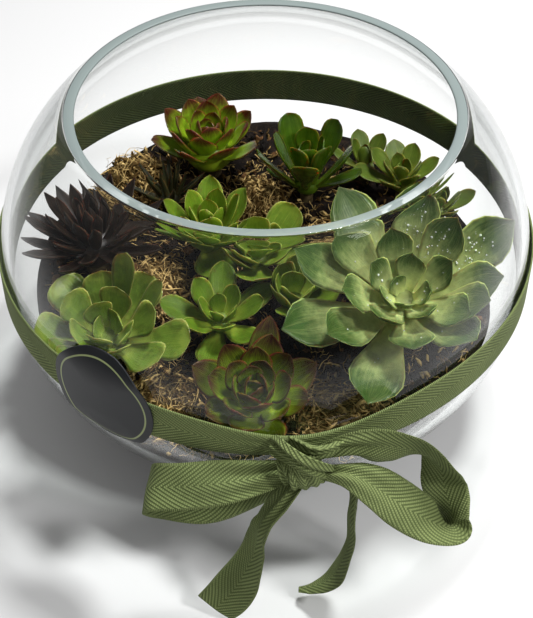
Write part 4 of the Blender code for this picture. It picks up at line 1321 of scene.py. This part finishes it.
class SUCCULENT_OT_ribbon(bpy.types.Operator):
    """Tie the ribbon: the band round the bowl, the knot, two loops and two tails"""

    bl_idname = "succulent.ribbon"
    bl_label = "Ribbon"

    def execute(self, context):
        settings = settings_of(context)
        ribs, shade, inside_painted_shade = (
            tuple(colour) for colour in (settings.ribbon_colour, settings.ribbon_shade, settings.ribbon_inside)
        )
        tape = ribbon_material("ribbon", ribs, shade, settings.rib_spacing)
        # A darker copy of the tape for the band's side on the glass: painted shade
        inside = ribbon_material("ribbon_under_glass", shade, inside_painted_shade, settings.rib_spacing)
        width = settings.tape_width
        self.band([tape, inside], width)
        pieces = (
            ("ribbon_loop_left", LOOP_LEFT, "bow_loop_left", 90, 0.4, 1.0),
            ("ribbon_loop_right", LOOP_RIGHT, "bow_loop_right", 130, 1.1, 1.0),
            ("ribbon_tail_left", TAIL_LEFT, "bow_tail_left", 70, 2.0, 0.5),
            ("ribbon_tail_right", TAIL_RIGHT, "bow_tail_right", 70, 0.9, 0.5),
        )
        for name, stations, node, rows, seed, cut_from in pieces:
            shape = Shape()
            length = add_tape(shape, stations, width, rows, seed=seed, cut_from=cut_from)
            piece = shape.piece(name, [tape], node, "ribbon")
        knot = Shape()
        lean = Matrix.Rotation(KNOT_LEAN, 4, "Y")
        inner_size = [size * 0.80 for size in KNOT_HALF_SIZE]
        place = Matrix.Translation(KNOT_MIDDLE) @ lean @ Matrix.Diagonal((*inner_size, 1.0))
        add_ball(knot, place, 14, 22)
        for k, strand in enumerate(KNOT_STRANDS):
            add_tape(knot, strand, width * 0.78, 44, 0.0016, folds=2.5, columns=24, seed=0.6 + 1.1 * k)
        knot.piece("ribbon_knot", [tape], "bow_knot", "ribbon")
        return {"FINISHED"}

    def band(self, materials, width):
        """The ribbon round the bowl, gathered narrower, thicker and in folds at the knot."""
        turns, columns, folds = 240, 12, 3
        count = 2 * (columns + 1)
        inside = BOWL_RADIUS + GAP
        spots = [column / columns - 0.5 for column in range(columns + 1)]
        shape = Shape()
        points = []
        places = []
        for i in range(turns + 1):
            angle = math.tau * (i % turns) / turns
            gather = knot_nearness(angle, math.radians(15))
            middle = BAND_Z - KNOT_DROP * knot_nearness(angle, math.radians(22))
            band_width = width + (KNOT_TAPE_WIDTH - width) * gather
            outside = inside + TAPE_THICKNESS + 0.0012 * gather
            radii = [
                outside - 0.0009 * gather * (0.5 - 0.5 * math.cos(math.tau * folds * spot)) for spot in spots
            ]
            along = math.tau * BOWL_RADIUS * i / turns
            for radius, spot in zip(radii + [inside] * len(spots), spots + spots[::-1]):
                points.append(round_spot(radius, angle, middle + band_width * spot))
                places.append((spot * width, along))
        shape.loft(points, count, places, first_cap=False, last_cap=False)
        # The faces on the glass side take the darker copy of the tape: painted shade
        for row in range(0, turns * count, count):
            shape.finishes[row + columns + 1:row + count - 1] = [1] * columns
        piece = shape.piece("ribbon_round_bowl", materials, "ribbon_band", "ribbon")


class SUCCULENT_OT_label(bpy.types.Operator):
    """Stick the round label on the glass, over the ribbon"""

    bl_idname = "succulent.label"
    bl_label = "Label"

    def execute(self, context):
        settings = settings_of(context)
        shape = Shape()
        spokes = 72
        shares = (1.0, 0.994, 0.98, 0.88, 0.6, 0.3, 0.04)
        points = []
        places = []
        for lift, order in ((0.0, shares[::-1]), (LABEL_THICKNESS, shares)):
            for share in order:
                for x, y, _ in ring(share, 0.0, spokes):
                    points.append(self.on_glass(settings.label_radius * x, settings.label_radius * y, lift))
                    places.append((0.5 + 0.5 * x, 0.5 + 0.5 * y))
        shape.loft(points, spokes, places)
        material, shader = plain_material("label_paper", 0.42, Specular_IOR_Level=0.3)
        tree = material.node_tree
        place = value_from(tree, "ShaderNodeUVMap", uv_map="place")
        between = {0: place, 1: (0.5, 0.5, 0.0)}
        share = value_from(tree, "ShaderNodeVectorMath", between, "Value", operation="DISTANCE") * 2.0
        thin_ring = ramp(share, 0.845, 0.855) * (1.0 - ramp(share, 0.875, 0.885))
        fleck = noise_of(object_place(tree), 700.0, 2.0) * 0.25
        colour = blend(fleck, tuple(settings.label_colour), screen_colour(36, 39, 43))
        link(blend(thin_ring, colour, tuple(settings.label_ring_colour)), shader, "Base Color")
        shape.piece("label_round", [material], "label", "label")
        return {"FINISHED"}

    def on_glass(self, across, up, lift):
        """A point of the label, across and up from its middle, lifted off the glass or the ribbon."""
        z = LABEL_Z + up
        over_tape = max(0.0, min(1.0, (0.024 - abs(z - BAND_Z)) / 0.008))
        on_tape = BOWL_RADIUS + GAP + TAPE_THICKNESS
        radius = glass_radius(z) + (on_tape - glass_radius(z)) * over_tape + GAP + lift
        return round_spot(radius, LABEL_ANGLE + across / BOWL_RADIUS, z)


class SUCCULENT_OT_stage(bpy.types.Operator):
    """Set up the floor, the lights and the camera"""

    bl_idname = "succulent.stage"
    bl_label = "Stage"

    def execute(self, context):
        scene = context.scene
        shape = Shape()
        turns = 64
        rings = [ring(radius, -0.0002, turns) for radius in (0.02, 0.6, 1.5, 3.0)]
        shape.loft([spot for spots in rings for spot in spots], turns, last_cap=False)
        mesh = bpy.data.meshes.new("floor")
        mesh.from_pydata(shape.points, [], shape.faces)
        paper, _ = plain_material("floor_paper", 0.9, Base_Color=(FLOOR_GREY, FLOOR_GREY, FLOOR_GREY, 1.0))
        mesh.materials.append(paper)
        floor = bpy.data.objects.new("floor", mesh)
        scene.collection.objects.link(floor)
        world = bpy.data.worlds.new("soft_room")
        scene.world = world
        world.use_nodes = True
        tree = world.node_tree
        way = value_from(tree, "ShaderNodeTexCoord", output="Generated")
        height = value_from(tree, "ShaderNodeSeparateXYZ", {0: way}, 2)
        sky = blend(ramp(height, -0.1, 0.75), (0.26, 0.27, 0.28, 1.0), (1.0, 1.0, 1.0, 1.0))
        background = tree.nodes["Background"]
        link(sky, background, "Color")
        background.inputs["Strength"].default_value = ROOM_LIGHT
        for name, spot, size, power in LIGHTS:
            lamp = bpy.data.lights.new(name, "AREA")
            lamp.size = size
            lamp.energy = power
            self.place(lamp, spot, LIT_Z)
        camera = bpy.data.cameras.new("camera")
        camera.lens = CAMERA_LENS
        camera.sensor_width = 36.0
        camera.shift_x, camera.shift_y = CAMERA_SHIFT
        camera.clip_start = 0.01
        scene.camera = self.place(camera, CAMERA_PLACE, EQUATOR_Z)
        scene.view_settings.view_transform = "Standard"
        return {"FINISHED"}

    def place(self, held, spot, looks_at_z):
        """Set up a light or the camera, pointed at a height on the bowl's axis."""
        holder = bpy.data.objects.new(held.name, held)
        bpy.context.scene.collection.objects.link(holder)
        holder.location = spot
        to_bowl = Vector((0.0, 0.0, looks_at_z)) - holder.location
        holder.rotation_euler = to_bowl.to_track_quat("-Z", "Y").to_euler()
        return holder


OPERATORS = (
    SUCCULENT_OT_glass, SUCCULENT_OT_gravel, SUCCULENT_OT_soil, SUCCULENT_OT_plants, SUCCULENT_OT_drops,
    SUCCULENT_OT_moss, SUCCULENT_OT_ribbon, SUCCULENT_OT_label, SUCCULENT_OT_stage,
)


class SUCCULENT_PT_panel(bpy.types.Panel):
    """The bowl's pieces, in the order in which they are made"""

    bl_idname = "SUCCULENT_PT_panel"
    bl_label = "Succulent bowl"
    bl_space_type = "VIEW_3D"
    bl_region_type = "UI"
    bl_category = "Succulent bowl"

    def draw(self, context):
        for operator in OPERATORS:
            self.layout.operator(operator.bl_idname)
        for name in SucculentBowlSettings.__annotations__:
            self.layout.prop(settings_of(context), name)


CLASSES = (SucculentBowlSettings, *OPERATORS, SUCCULENT_PT_panel)


def register():
    for cls in CLASSES:
        bpy.utils.register_class(cls)
    bpy.types.Scene.succulent_bowl = bpy.props.PointerProperty(type=SucculentBowlSettings)


def unregister():
    del bpy.types.Scene.succulent_bowl
    for cls in reversed(CLASSES):
        bpy.utils.unregister_class(cls)


def main():
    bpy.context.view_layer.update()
    register()
    bpy.ops.succulent.glass()
    bpy.ops.succulent.gravel()
    bpy.ops.succulent.soil()
    bpy.ops.succulent.plants()
    bpy.ops.succulent.drops()
    bpy.ops.succulent.moss()
    bpy.ops.succulent.ribbon()
    bpy.ops.succulent.label()
    bpy.ops.succulent.stage()


if __name__ == "__main__":
    main()
